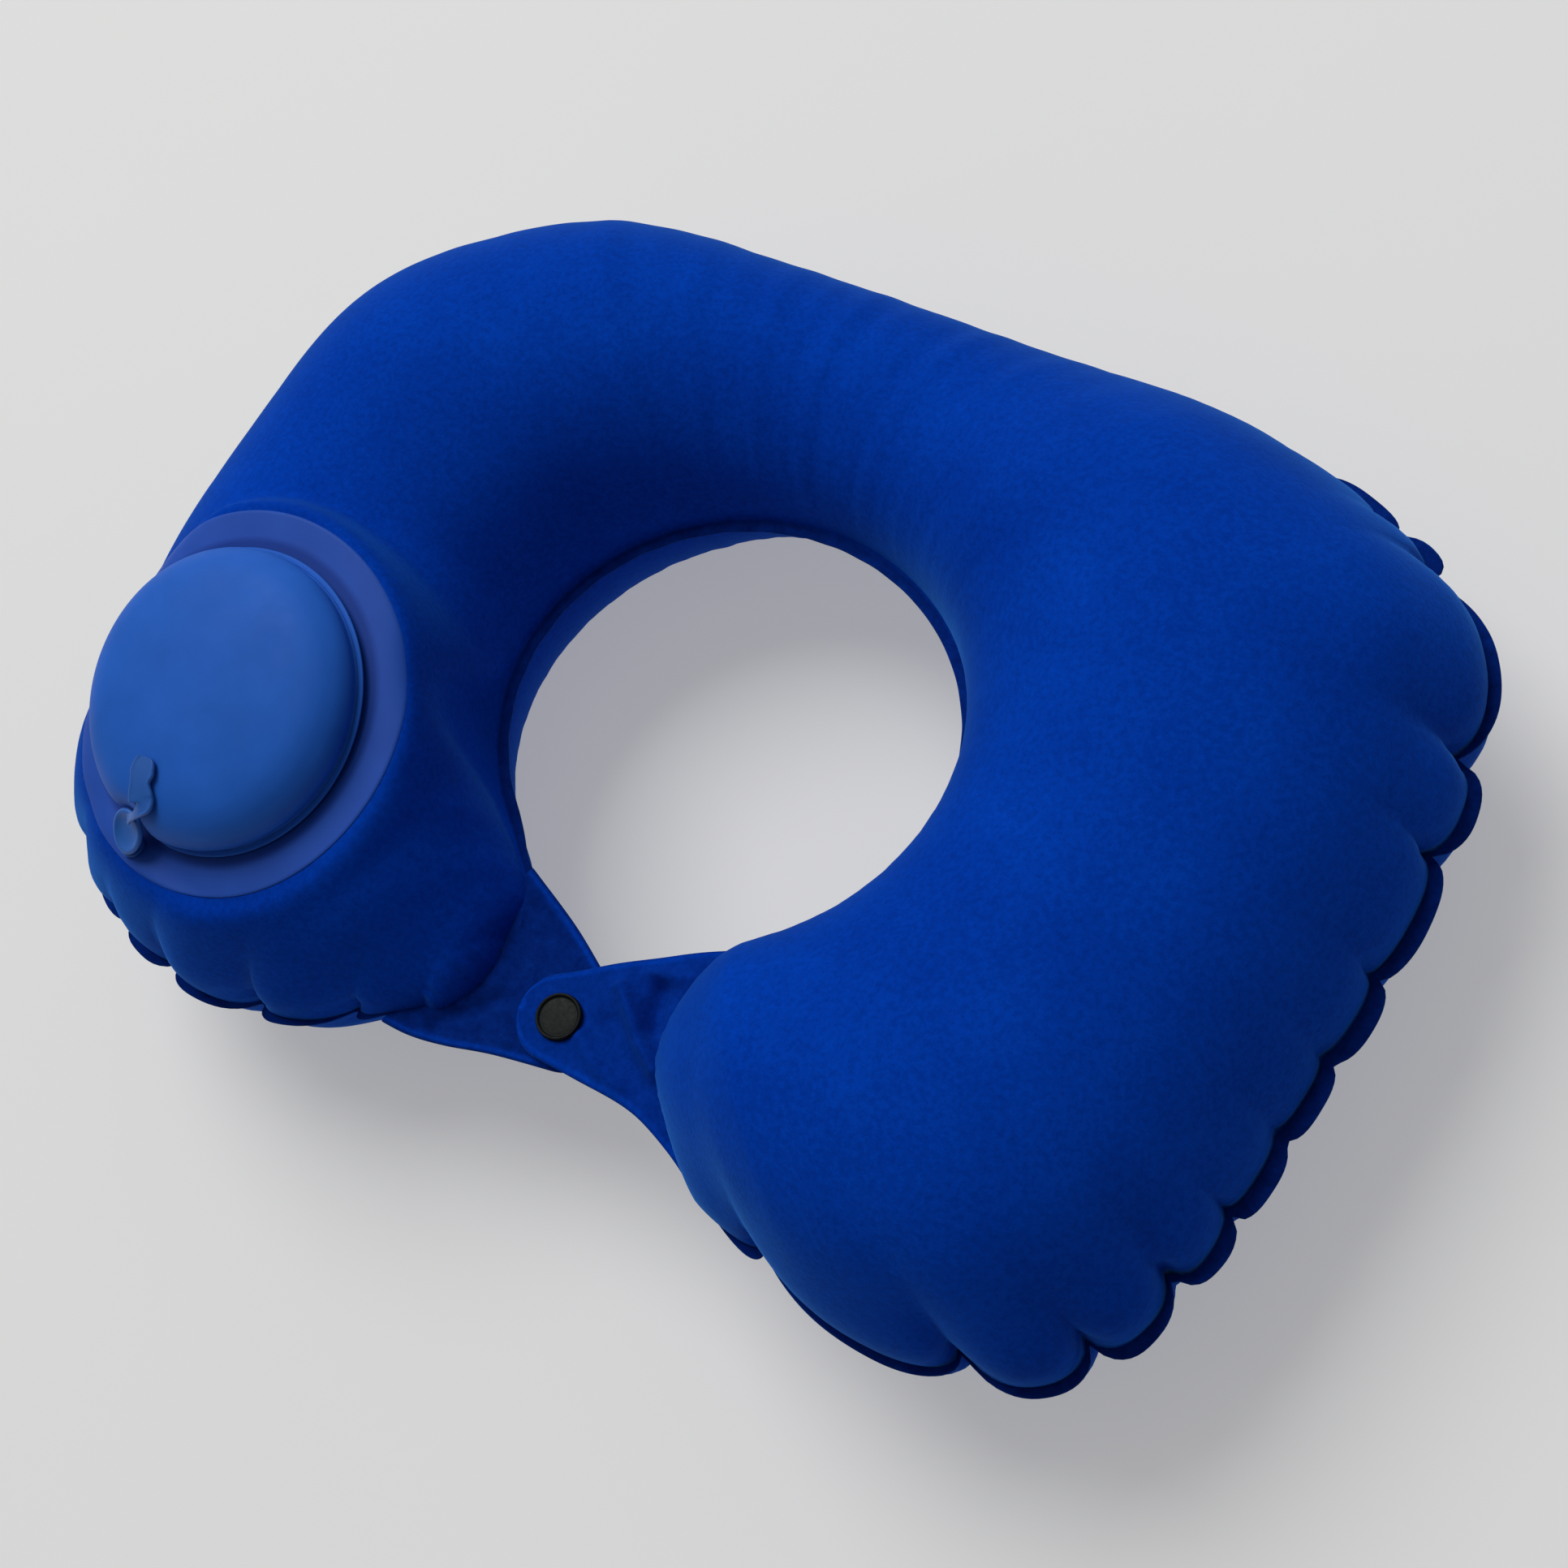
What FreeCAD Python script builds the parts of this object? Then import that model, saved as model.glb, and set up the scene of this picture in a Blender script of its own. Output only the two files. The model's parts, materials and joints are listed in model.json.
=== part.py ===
import FreeCAD, Part
import Sketcher
import math
import os

# Inflatable U-shaped neck pillow, inflated and snapped shut.
#
# Two flocked sheets are welded together round their edges.  They make one
# U-shaped air chamber with a neck hole in its middle, a narrow part behind
# the neck and two wide side arms.  At the front the welded sheets run on as
# two flat tabs, closed by a snap button.  A press pump with a release plug
# is welded into the top of the arm on the -X side.
#
# Frame: +X towards the wearer's one side, +Y towards the back of the neck,
# +Z up.  The origin is in the middle of the bounding box, on the surface
# that the pillow lies on.  Lengths are in millimetres, angles in degrees.

SIZES = [
    # The weld round the outside of the chamber: its distance from the hole's
    # centre, at angles from the back (+Y) towards each arm.
    ("weld_at_back", 128.0),
    ("weld_at_25_deg", 139.5),
    ("weld_at_50_deg", 172.0),
    ("weld_at_75_deg", 185.0),
    ("weld_at_100_deg", 181.0),
    ("weld_at_125_deg", 186.0),
    ("weld_at_arm_corner", 154.0),
    ("weld_at_arm_end", 108.0),
    ("arm_corner_angle", 141.0),
    ("arm_end_angle", 160.0),
    ("arm_end_rounding", 20.0),
    # The neck hole, an ellipse, to the weld.
    ("hole_half_width", 68.7),
    ("hole_half_depth", 60.8),
    ("hole_forward_shift", 4.9),
    # The chamber and its sheets.
    ("arm_half_width", 58.0),
    ("arm_half_height", 55.2),
    ("weld_height", 53.3),
    ("sheet_thickness", 0.6),
    ("outer_weld_margin", 7.0),
    ("inner_weld_margin", 3.5),
    # The front tabs, round the snap's centre.
    ("snap_forward", 87.1),
    ("tab_slope", 4.5),
    ("tab_thickness", 1.2),
    ("tab_half_gap", 1.6),
    ("tab_end_radius", 14.0),
    ("tab_root_inner_x", 19.2),
    ("tab_root_inner_y", 29.2),
    ("tab_root_outer_x", 36.8),
    ("tab_root_outer_y", 19.2),
    # The snap button.
    ("snap_cap_radius", 6.2),
    ("snap_rim_width", 0.7),
    ("snap_cap_height", 1.1),
    ("snap_rim_height", 1.4),
    ("snap_disc_radius", 5.0),
    ("snap_post_radius", 1.0),
    ("snap_post_hole", 1.1),
    ("snap_stud_base", 0.8),
    ("snap_stud_radius", 2.0),
    ("snap_stud_tip_radius", 1.8),
    ("snap_stud_height", 1.2),
    ("snap_socket_height", 2.1),
    ("snap_socket_web", 0.8),
    ("snap_socket_bore", 2.6),
    # The press pump, in its own frame: z = 0 is the plane of its film ring.
    ("pump_x", -104.7),
    ("pump_y", -57.0),
    ("pump_rise", 51.1),
    ("pump_tilt_forward", 12.8),
    ("pump_tilt_side", 1.8),
    ("pump_hole_radius", 40.6),
    ("pump_seat_gap", 0.15),
    ("film_thickness", 0.5),
    ("film_radius", 51.4),
    ("film_hole_radius", 35.0),
    ("dome_foot_radius", 39.2),
    ("dome_radius", 41.0),
    ("dome_widest_height", 4.5),
    ("dome_shoulder_radius", 37.5),
    ("dome_shoulder_height", 11.6),
    ("dome_side_curve", 6.2),
    ("dome_top_curve", 62.0),
    ("dome_wall", 1.6),
    ("crown_radius", 25.0),
    ("crown_edge_height", 15.4),
    ("crown_height", 17.4),
    ("crown_flat_radius", 9.0),
    ("crown_play", 0.3),
    ("foam_radius", 24.0),
    ("foam_height", 12.4),
    ("foam_lift", 0.3),
    ("base_radius", 40.0),
    ("base_thickness", 1.4),
    ("outlet_radius", 2.5),
    ("flap_thickness", 0.4),
    ("flap_gap", 0.15),
    ("outlet_flap_radius", 5.0),
    ("intake_radius", 1.5),
    ("intake_height", 4.2),
    ("intake_direction", 160.0),
    ("intake_flap_width", 8.0),
    ("intake_flap_height", 4.4),
    ("intake_flap_distance", 35.2),
    # The release valve, beside the dome.
    ("plug_x", -10.5),
    ("plug_y", 44.7),
    ("spout_radius", 3.1),
    ("spout_bore", 2.05),
    ("spout_depth", 7.0),
    ("spout_lip_height", 0.8),
    ("spout_lip_radius", 3.5),
    ("spout_hole_radius", 3.3),
    ("panel_spout_hole_radius", 3.7),
    ("plug_stem_radius", 1.98),
    ("plug_stem_depth", 3.8),
    ("plug_head_reach", 0.7),
    ("plug_head_radius", 3.6),
    ("plug_head_thickness", 1.3),
    ("plug_head_gap", 0.3),
    ("plug_dish_radius", 2.7),
    ("plug_dish_depth", 0.5),
    ("strap_thickness", 1.1),
]

STATION_STEP = 5.0      # degrees between two sections along an arm
END_STATIONS = 6        # sections in the rounded end of an arm
ARC_POINTS = 21         # points over one section, from weld to weld
FLOOR_TRIM = 0.1        # the underside is cut flat this far up its rest patches
HEIGHT_POWER = 0.52     # how the chamber's height grows with its width
TALLEST_RATIO = 1.05    # its greatest height as a share of its width
ROUND_POWER = 2.0       # the section's power: 2 is an ellipse, more is squarer
SQUARER_POWER = 4.0     # the same, across the arm under the pump
PUMP_FLAT_REACH = 18.0  # how far past the film ring the flat seat fades out
PUMP_ARM_REACH = 34.0   # degrees along the arm in which its section is squarer
SEAT_EDGE_POWER = 0.2   # how fast the flat seat falls to the weld at its edge
SEAT_FADE = 2.0         # the seat fades where the arm is lower than 1 / this of it

ALMOST_DIAMETER = 1.99  # a chord longer than this many radii makes a half circle

doc = FreeCAD.newDocument("NeckPillow")
sheet = doc.addObject("Spreadsheet::Sheet", "Sizes")
for row, (alias, value) in enumerate(SIZES, start=1):
    sheet.set("A%d" % row, alias)
    sheet.set("B%d" % row, str(value))
    sheet.setAlias("B%d" % row, alias)
doc.recompute()

nodes = []


def size(alias):
    """The number that the sheet holds under this alias."""
    return float(sheet.get(alias))


def amount(text):
    """The value of a sum of sheet sizes, written as 'one + two - three'."""
    total = 0.0
    sign = 1.0
    for word in text.split():
        if word == "+":
            sign = 1.0
        elif word == "-":
            sign = -1.0
        else:
            total += sign * (size(word) if word.isidentifier() else float(word))
    return total


def expression(text):
    """The same sum, as an expression that reads the sheet."""
    words = text.split()
    return " ".join("Sizes." + w if w.isidentifier() else w for w in words)


def keep(thing, label):
    """Name a finished sub-part and list it for writing."""
    thing.Label = label
    nodes.append(thing)
    return thing


# ---------------------------------------------------------------- sketches

def plane_of(body, role):
    for plane in body.Origin.OriginFeatures:
        if plane.Role == role:
            return plane
    raise ValueError("no plane " + role)


def new_sketch(body, role):
    sketch = body.newObject("Sketcher::SketchObject", body.Name + "Sketch")
    sketch.AttachmentSupport = [(plane_of(body, role), "")]
    sketch.MapMode = "FlatFace"
    return sketch


def arc_between(start, end, radius):
    """A short arc over a line, to its left if radius > 0, drawn anticlockwise."""
    chord = end - start
    half = chord.Length / 2.0
    sagitta = abs(radius) - math.sqrt(max(radius * radius - half * half, 0.0))
    side = FreeCAD.Vector(-chord.y, chord.x, 0).normalize()
    if radius < 0:
        return Part.Arc(start, (start + end) * 0.5 - side * sagitta, end)
    return Part.Arc(end, (start + end) * 0.5 + side * sagitta, start)


def draw_outline(sketch, corners, arcs=None):
    """A closed outline whose corners and arcs are bound to the sheet.

    corners are pairs of sums; arcs maps the number of a side to the alias of
    its radius and the way it bulges, +1 for left of the side and -1 for right.
    """
    arcs = arcs or {}
    points = [FreeCAD.Vector(amount(x), amount(y), 0) for x, y in corners]
    count = len(points)
    for i in range(count):
        start = points[i]
        end = points[(i + 1) % count]
        if i in arcs:
            alias, side = arcs[i]
            sketch.addGeometry(arc_between(start, end, side * size(alias)))
        else:
            sketch.addGeometry(Part.LineSegment(start, end))
    ends = [(2, 1) if i in arcs and arcs[i][1] > 0 else (1, 2) for i in range(count)]
    for i in range(count):
        j = (i + 1) % count
        sketch.addConstraint(Sketcher.Constraint("Coincident", i, ends[i][1], j, ends[j][0]))
    for i, (x, y) in enumerate(corners):
        bind_distance(sketch, "DistanceX", i, ends[i][0], x)
        bind_distance(sketch, "DistanceY", i, ends[i][0], y)
    for i, (alias, side) in arcs.items():
        chord = points[(i + 1) % count] - points[i]
        if chord.Length > ALMOST_DIAMETER * size(alias):
            continue  # a half circle's ends already fix it
        index = sketch.addConstraint(Sketcher.Constraint("Radius", i, size(alias)))
        sketch.setExpression("Constraints[%d]" % index, "Sizes." + alias)


def bind_distance(sketch, kind, curve, point, text):
    index = sketch.addConstraint(Sketcher.Constraint(kind, -1, 1, curve, point, amount(text)))
    sketch.setExpression("Constraints[%d]" % index, expression(text))


def revolved(label, corners, arcs=None, placement=None):
    """A body turned about its own Z axis from an outline of (radius, z)."""
    body = doc.addObject("PartDesign::Body", label + "_body")
    sketch = new_sketch(body, "XZ_Plane")
    draw_outline(sketch, corners, arcs)
    turn = body.newObject("PartDesign::Revolution", label + "_turn")
    turn.Profile = sketch
    turn.ReferenceAxis = (sketch, ["V_Axis"])
    turn.Angle = 360.0
    body.Placement = placement or FreeCAD.Placement()
    return keep(body, label)


def raised(label, corners, bottom, height, arcs=None, holes=(), placement=None):
    """A flat body: an outline raised from the level bottom, with round holes.

    Each hole is (x, y, radius): two sums and the alias of its radius.
    """
    body = doc.addObject("PartDesign::Body", label + "_body")
    sketch = new_sketch(body, "XY_Plane")
    draw_outline(sketch, corners, arcs)
    pad_of(body, sketch, bottom, height)
    if holes:
        bore(body, holes)
    body.Placement = placement or FreeCAD.Placement()
    return keep(body, label)


def disc(label, radius, bottom, height, holes=(), placement=None):
    """A round plate about its own Z axis, with round holes."""
    body = doc.addObject("PartDesign::Body", label + "_body")
    sketch = new_sketch(body, "XY_Plane")
    draw_circle(sketch, ("0", "0", radius))
    pad_of(body, sketch, bottom, height)
    if holes:
        bore(body, holes)
    body.Placement = placement or FreeCAD.Placement()
    return keep(body, label)


def pad_of(body, sketch, bottom, height):
    sketch.setExpression("AttachmentOffset.Base.z", expression(bottom))
    pad = body.newObject("PartDesign::Pad", body.Name + "Pad")
    pad.Profile = sketch
    pad.Length = amount(height)
    pad.setExpression("Length", expression(height))
    return pad


def draw_circle(sketch, hole):
    x, y, radius = hole
    centre = FreeCAD.Vector(amount(x), amount(y), 0)
    curve = sketch.addGeometry(Part.Circle(centre, FreeCAD.Vector(0, 0, 1), size(radius)))
    for kind, text in (("DistanceX", x), ("DistanceY", y)):
        bind_distance(sketch, kind, curve, 3, text)
    index = sketch.addConstraint(Sketcher.Constraint("Radius", curve, size(radius)))
    sketch.setExpression("Constraints[%d]" % index, "Sizes." + radius)


def bore(body, holes):
    """Round holes right through a body, along its own Z axis."""
    sketch = new_sketch(body, "XY_Plane")
    for hole in holes:
        draw_circle(sketch, hole)
    doc.recompute()
    before = body.Shape.Volume
    pocket = body.newObject("PartDesign::Pocket", body.Name + "Bore")
    pocket.Profile = sketch
    pocket.Type = "ThroughAll"
    pocket.Midplane = True
    doc.recompute()
    if body.Shape.Volume > before - 1e-3:
        raise ValueError("nothing was bored from " + body.Label)


# ------------------------------------------------------- the chamber's shape

def eased(value):
    """0 to 1 with a level start and end."""
    value = min(max(value, 0.0), 1.0)
    return value * value * (3.0 - 2.0 * value)


def weld_curve():
    """The outer weld's distance from the hole's centre, against the angle."""
    knots = [(25.0 * i, size("weld_at_%d_deg" % (25 * i))) for i in range(1, 6)]
    knots.append((size("arm_corner_angle"), size("weld_at_arm_corner")))
    knots.append((size("arm_end_angle"), size("weld_at_arm_end")))
    mirrored = [(-angle, radius) for angle, radius in reversed(knots)]
    knots = mirrored + [(0.0, size("weld_at_back"))] + knots
    curve = Part.BSplineCurve()
    curve.interpolate([FreeCAD.Vector(angle, radius, 0) for angle, radius in knots],
                      Parameters=[angle for angle, radius in knots])
    return curve


WELD = weld_curve()


def outer_weld(angle):
    return WELD.value(min(abs(angle), size("arm_end_angle"))).y


def inner_weld(angle):
    turn = math.radians(angle)
    wide = size("hole_half_width")
    deep = size("hole_half_depth")
    return wide * deep / math.hypot(deep * math.sin(turn), wide * math.cos(turn))


def end_rounding(angle):
    """1 along an arm, falling to 0 in a quarter circle at its end."""
    past = abs(angle) - (size("arm_end_angle") - size("arm_end_rounding"))
    share = min(max(past / size("arm_end_rounding"), 0.0), 1.0)
    return math.sqrt(1.0 - share * share)


def half_height(angle):
    half_width = (outer_weld(angle) - inner_weld(angle)) / 2.0
    natural = size("arm_half_height") * (half_width / size("arm_half_width")) ** HEIGHT_POWER
    return min(natural, TALLEST_RATIO * half_width) * end_rounding(angle)


def placed(x, y, z, tilt_x=0.0, tilt_y=0.0, turn_z=0.0):
    """A placement: turned about Z, then tilted about Y and X, then moved."""
    spin = (FreeCAD.Rotation(FreeCAD.Vector(1, 0, 0), tilt_x)
            * FreeCAD.Rotation(FreeCAD.Vector(0, 1, 0), tilt_y)
            * FreeCAD.Rotation(FreeCAD.Vector(0, 0, 1), turn_z))
    return FreeCAD.Placement(FreeCAD.Vector(x, y, z), spin)


HOLE_Y = -size("hole_forward_shift")
PUMP = placed(size("pump_x"), size("pump_y") + HOLE_Y, size("weld_height") + size("pump_rise"),
              size("pump_tilt_forward"), size("pump_tilt_side"))
PUMP_ANGLE = math.degrees(math.atan2(size("pump_x"), size("pump_y")))


def pump_share(x, y):
    """1 under the pump, falling to 0 a little way past its film ring."""
    away = math.hypot(x - size("pump_x"), y - size("pump_y")) - size("film_radius")
    return 1.0 - eased(away / PUMP_FLAT_REACH)


def pump_seat_height(x, y):
    """The height over the weld of the sheet's inner side under the film ring."""
    axis = PUMP.Rotation.multVec(FreeCAD.Vector(0, 0, 1))
    slope_x = -axis.x / axis.z
    slope_y = -axis.y / axis.z
    rise = slope_x * (x - size("pump_x")) + slope_y * (y - size("pump_y"))
    return size("pump_rise") - size("pump_seat_gap") - size("sheet_thickness") + rise


def section_point(angle, share, upper, inset):
    """A point of the chamber's section, as (distance from the centre, height).

    share runs from 0 at the outer weld to 1 at the inner one.  inset moves
    the point from the sheet's outer side to its inner side.
    """
    outer = outer_weld(angle)
    inner = inner_weld(angle)
    middle = (outer + inner) / 2.0
    half_width = (outer - inner) / 2.0
    near_pump = 1.0 - eased(abs(angle - PUMP_ANGLE) / PUMP_ARM_REACH) if upper else 0.0
    squareness = ROUND_POWER + (SQUARER_POWER - ROUND_POWER) * near_pump
    turn = math.pi * share
    across = math.copysign(abs(math.cos(turn)) ** (2.0 / squareness), math.cos(turn))
    lift = abs(math.sin(turn)) ** (2.0 / squareness)
    distance = middle + (half_width - inset) * across
    height = half_height(angle) * lift
    if upper:
        x = distance * math.sin(math.radians(angle))
        y = distance * math.cos(math.radians(angle))
        flat = pump_share(x, y) * eased(SEAT_FADE * half_height(angle) / size("pump_rise"))
        seat = pump_seat_height(x, y) * abs(math.sin(turn)) ** SEAT_EDGE_POWER
        height = height * (1.0 - flat) + seat * flat
        return distance, height - inset + size("sheet_thickness")
    height = min(height, size("weld_height") + FLOOR_TRIM - size("sheet_thickness"))
    return distance, -(height - inset + size("sheet_thickness"))


def section_wire(angle, upper):
    """One section of a sheet: the weld margins and the arch between them."""
    thickness = size("sheet_thickness")
    way = 1.0 if upper else -1.0
    far = outer_weld(angle) + size("outer_weld_margin")
    near = inner_weld(angle) - size("inner_weld_margin")
    shares = [i / (ARC_POINTS - 1.0) for i in range(ARC_POINTS)]
    over = [section_point(angle, share, upper, 0.0) for share in shares]
    under = [section_point(angle, share, upper, thickness) for share in reversed(shares)]
    over[0] = (over[0][0], way * thickness)
    over[-1] = (over[-1][0], way * thickness)
    under[0] = (under[0][0], 0.0)
    under[-1] = (under[-1][0], 0.0)
    turn = math.radians(angle)

    def spot(point):
        distance, height = point
        return FreeCAD.Vector(distance * math.sin(turn), distance * math.cos(turn) + HOLE_Y,
                              height + size("weld_height"))

    def arch(points):
        curve = Part.BSplineCurve()
        curve.interpolate([spot(p) for p in points], Parameters=shares)
        return curve.toShape()

    def line(start, end):
        return Part.makeLine(spot(start), spot(end))

    corners = [(far, 0.0), (far, way * thickness), over[0]]
    ends = [over[-1], (near, way * thickness), (near, 0.0), under[0]]
    edges = [line(corners[0], corners[1]), line(corners[1], corners[2]), arch(over)]
    edges += [line(a, b) for a, b in zip(ends, ends[1:])]
    edges += [arch(under), line(under[-1], corners[0])]
    return Part.Wire(edges)


def station_angles():
    """The angles of the sections from one arm's end to the other's."""
    start = size("arm_end_angle") - size("arm_end_rounding")
    count = int(round(start / STATION_STEP))
    along = [start * i / count for i in range(count)]
    closing = [start + size("arm_end_rounding") * math.sin(math.radians(90.0 * i / END_STATIONS))
               for i in range(END_STATIONS + 1)]
    half = along + closing
    return [-angle for angle in reversed(half[1:])] + half


def panel_shape(upper):
    wires = [section_wire(angle, upper) for angle in station_angles()]
    return Part.makeLoft(wires, True, True)


def in_pump(shape):
    """A copy of a shape, moved from the pump's frame to the pillow's."""
    shape = shape.copy()
    shape.Placement = PUMP
    return shape


def upright(radius, bottom, top, x=0.0, y=0.0):
    return Part.makeCylinder(radius, top - bottom, FreeCAD.Vector(x, y, bottom))


def plug_spot():
    return size("plug_x"), -size("plug_y")


def panel(label, upper):
    shape = panel_shape(upper)
    if upper:
        reach = size("pump_hole_radius") / 2.0
        shape = shape.cut(in_pump(upright(size("pump_hole_radius"), -reach, reach)))
        shape = shape.cut(in_pump(upright(size("panel_spout_hole_radius"), -reach, reach,
                                          *plug_spot())))
    else:
        reach = 2.0 * size("weld_at_125_deg")
        above_ground = Part.makeBox(2.0 * reach, 2.0 * reach, reach,
                                    FreeCAD.Vector(-reach, -reach, 0))
        shape = shape.common(above_ground)
    feature = doc.addObject("Part::Feature", label + "_sheet")
    feature.Shape = shape
    return keep(feature, label)


panel("upper_panel", True)
panel("lower_panel", False)

# ------------------------------------------------------------------ the tabs
# Both tabs lie in one tilted frame at the snap's centre: each tab's root is
# at the height of the weld, and at the snap they are parallel, one snap apart.

SNAP = placed(0.0, HOLE_Y - size("snap_forward"), size("weld_height"), 0.0, size("tab_slope"))


def tab(label, way, bottom):
    """A flat tab rooted at an arm: way is "" for +X and "- " for -X."""
    corners = [
        (way + "tab_root_inner_x", "tab_root_inner_y"),
        ("0", "tab_end_radius"),
        ("0", "- tab_end_radius"),
        (way + "tab_root_outer_x", "- tab_root_outer_y"),
    ]
    arcs = {1: ("tab_end_radius", 1 if way else -1)}
    hole = ("0", "0", "snap_post_hole")
    return raised(label, corners, bottom, "tab_thickness", arcs, [hole], SNAP)


tab("right_tab", "", "tab_half_gap")
tab("left_tab", "- ", "- tab_half_gap - tab_thickness")

# ------------------------------------------------------------ the snap button
# Each half is two pieces riveted through its tab: the cap and the socket
# through the right tab, the back cap and the stud through the left one.

revolved("snap_cap", [
    ("0", "tab_half_gap + tab_thickness + snap_cap_height"),
    ("0", "tab_half_gap - snap_socket_web"),
    ("snap_post_radius", "tab_half_gap - snap_socket_web"),
    ("snap_post_radius", "tab_half_gap + tab_thickness"),
    ("snap_cap_radius", "tab_half_gap + tab_thickness"),
    ("snap_cap_radius", "tab_half_gap + tab_thickness + snap_rim_height"),
    ("snap_cap_radius - snap_rim_width", "tab_half_gap + tab_thickness + snap_rim_height"),
    ("snap_cap_radius - snap_rim_width", "tab_half_gap + tab_thickness + snap_cap_height"),
], placement=SNAP)

revolved("snap_socket", [
    ("snap_post_hole", "tab_half_gap"),
    ("snap_disc_radius", "tab_half_gap"),
    ("snap_disc_radius", "tab_half_gap - snap_socket_height"),
    ("snap_socket_bore", "tab_half_gap - snap_socket_height"),
    ("snap_socket_bore", "tab_half_gap - snap_socket_web"),
    ("snap_post_hole", "tab_half_gap - snap_socket_web"),
], placement=SNAP)

revolved("snap_stud", [
    ("snap_post_hole", "- tab_half_gap"),
    ("snap_disc_radius", "- tab_half_gap"),
    ("snap_disc_radius", "- tab_half_gap + snap_stud_base"),
    ("snap_stud_radius", "- tab_half_gap + snap_stud_base"),
    ("snap_stud_tip_radius", "- tab_half_gap + snap_stud_base + snap_stud_height"),
    ("snap_post_hole", "- tab_half_gap + snap_stud_base + snap_stud_height"),
], placement=SNAP)

revolved("snap_back_cap", [
    ("0", "- tab_half_gap - tab_thickness - snap_cap_height"),
    ("snap_cap_radius", "- tab_half_gap - tab_thickness - snap_cap_height"),
    ("snap_cap_radius", "- tab_half_gap - tab_thickness"),
    ("snap_post_radius", "- tab_half_gap - tab_thickness"),
    ("snap_post_radius", "- tab_half_gap + snap_stud_base"),
    ("0", "- tab_half_gap + snap_stud_base"),
], placement=SNAP)

# -------------------------------------------------------------- the press pump

PLUG_X, PLUG_Y = plug_spot()
PLUG_DIRECTION = math.degrees(math.atan2(PLUG_Y, PLUG_X))
AT_PLUG = PUMP.multiply(placed(PLUG_X, PLUG_Y, 0.0, 0.0, 0.0, PLUG_DIRECTION))


disc("pump_flange", "film_radius", "0", "film_thickness",
     [("0", "0", "film_hole_radius"), ("plug_x", "- plug_y", "spout_hole_radius")], PUMP)

disc("pump_base", "base_radius", "- base_thickness", "base_thickness",
     [("0", "0", "outlet_radius")], PUMP)

skirt = revolved("skirt_blank", [
    ("dome_foot_radius", "film_thickness"),
    ("dome_radius", "dome_widest_height"),
    ("dome_shoulder_radius", "dome_shoulder_height"),
    ("crown_radius + crown_play", "crown_edge_height"),
    ("crown_radius + crown_play", "crown_edge_height - dome_wall"),
    ("dome_shoulder_radius - dome_wall", "dome_shoulder_height - dome_wall"),
    ("dome_foot_radius - dome_wall", "film_thickness"),
], {1: ("dome_side_curve", -1), 2: ("dome_top_curve", -1)}, PUMP)
nodes.remove(skirt)

intake = doc.addObject("Part::Cylinder", "IntakeHole")
intake.setExpression("Radius", "Sizes.intake_radius")
intake.setExpression("Height", "Sizes.dome_radius + Sizes.dome_wall")
SIDEWAYS = FreeCAD.Placement(FreeCAD.Vector(), FreeCAD.Rotation(FreeCAD.Vector(0, 1, 0), 90))
AT_INTAKE = PUMP.multiply(placed(0, 0, size("intake_height"), turn_z=size("intake_direction")))
intake.Placement = AT_INTAKE.multiply(SIDEWAYS)

skirt_cut = doc.addObject("Part::Cut", "SkirtWithIntake")
skirt_cut.Base = skirt
skirt_cut.Tool = intake
keep(skirt_cut, "pump_dome_skirt")

revolved("pump_dome_crown", [
    ("0", "crown_height"),
    ("crown_flat_radius", "crown_height"),
    ("crown_radius", "crown_edge_height"),
    ("crown_radius", "crown_edge_height - dome_wall"),
    ("crown_flat_radius", "crown_height - dome_wall"),
    ("0", "crown_height - dome_wall"),
], placement=PUMP)

foam = doc.addObject("Part::Cylinder", "FoamDisc")
foam.setExpression("Radius", "Sizes.foam_radius")
foam.setExpression("Height", "Sizes.foam_height")
foam.Placement = PUMP.multiply(placed(0, 0, size("foam_lift")))
keep(foam, "pump_foam")

disc("outlet_flap", "outlet_flap_radius", "- base_thickness - flap_gap - flap_thickness",
     "flap_thickness", placement=PUMP)

intake_flap = doc.addObject("Part::Box", "IntakeFlap")
intake_flap.setExpression("Length", "Sizes.flap_thickness")
intake_flap.setExpression("Width", "Sizes.intake_flap_width")
intake_flap.setExpression("Height", "Sizes.intake_flap_height")
intake_flap.Placement = AT_INTAKE.multiply(placed(
    size("intake_flap_distance"), -size("intake_flap_width") / 2, -size("intake_flap_height") / 2))
keep(intake_flap, "intake_flap")

# ---------------------------------------------------------- the release valve

revolved("release_spout", [
    ("spout_bore", "- spout_depth"),
    ("spout_radius", "- spout_depth"),
    ("spout_radius", "film_thickness"),
    ("spout_lip_radius", "film_thickness"),
    ("spout_lip_radius", "film_thickness + spout_lip_height"),
    ("spout_bore", "film_thickness + spout_lip_height"),
], placement=AT_PLUG)


def capsule(reach, radius):
    """A slot outline along X: two straight sides and two half circles."""
    corners = [("- " + reach, "- " + radius), (reach, "- " + radius),
               (reach, radius), ("- " + reach, radius)]
    return corners, {1: (radius, -1), 3: (radius, -1)}


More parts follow.
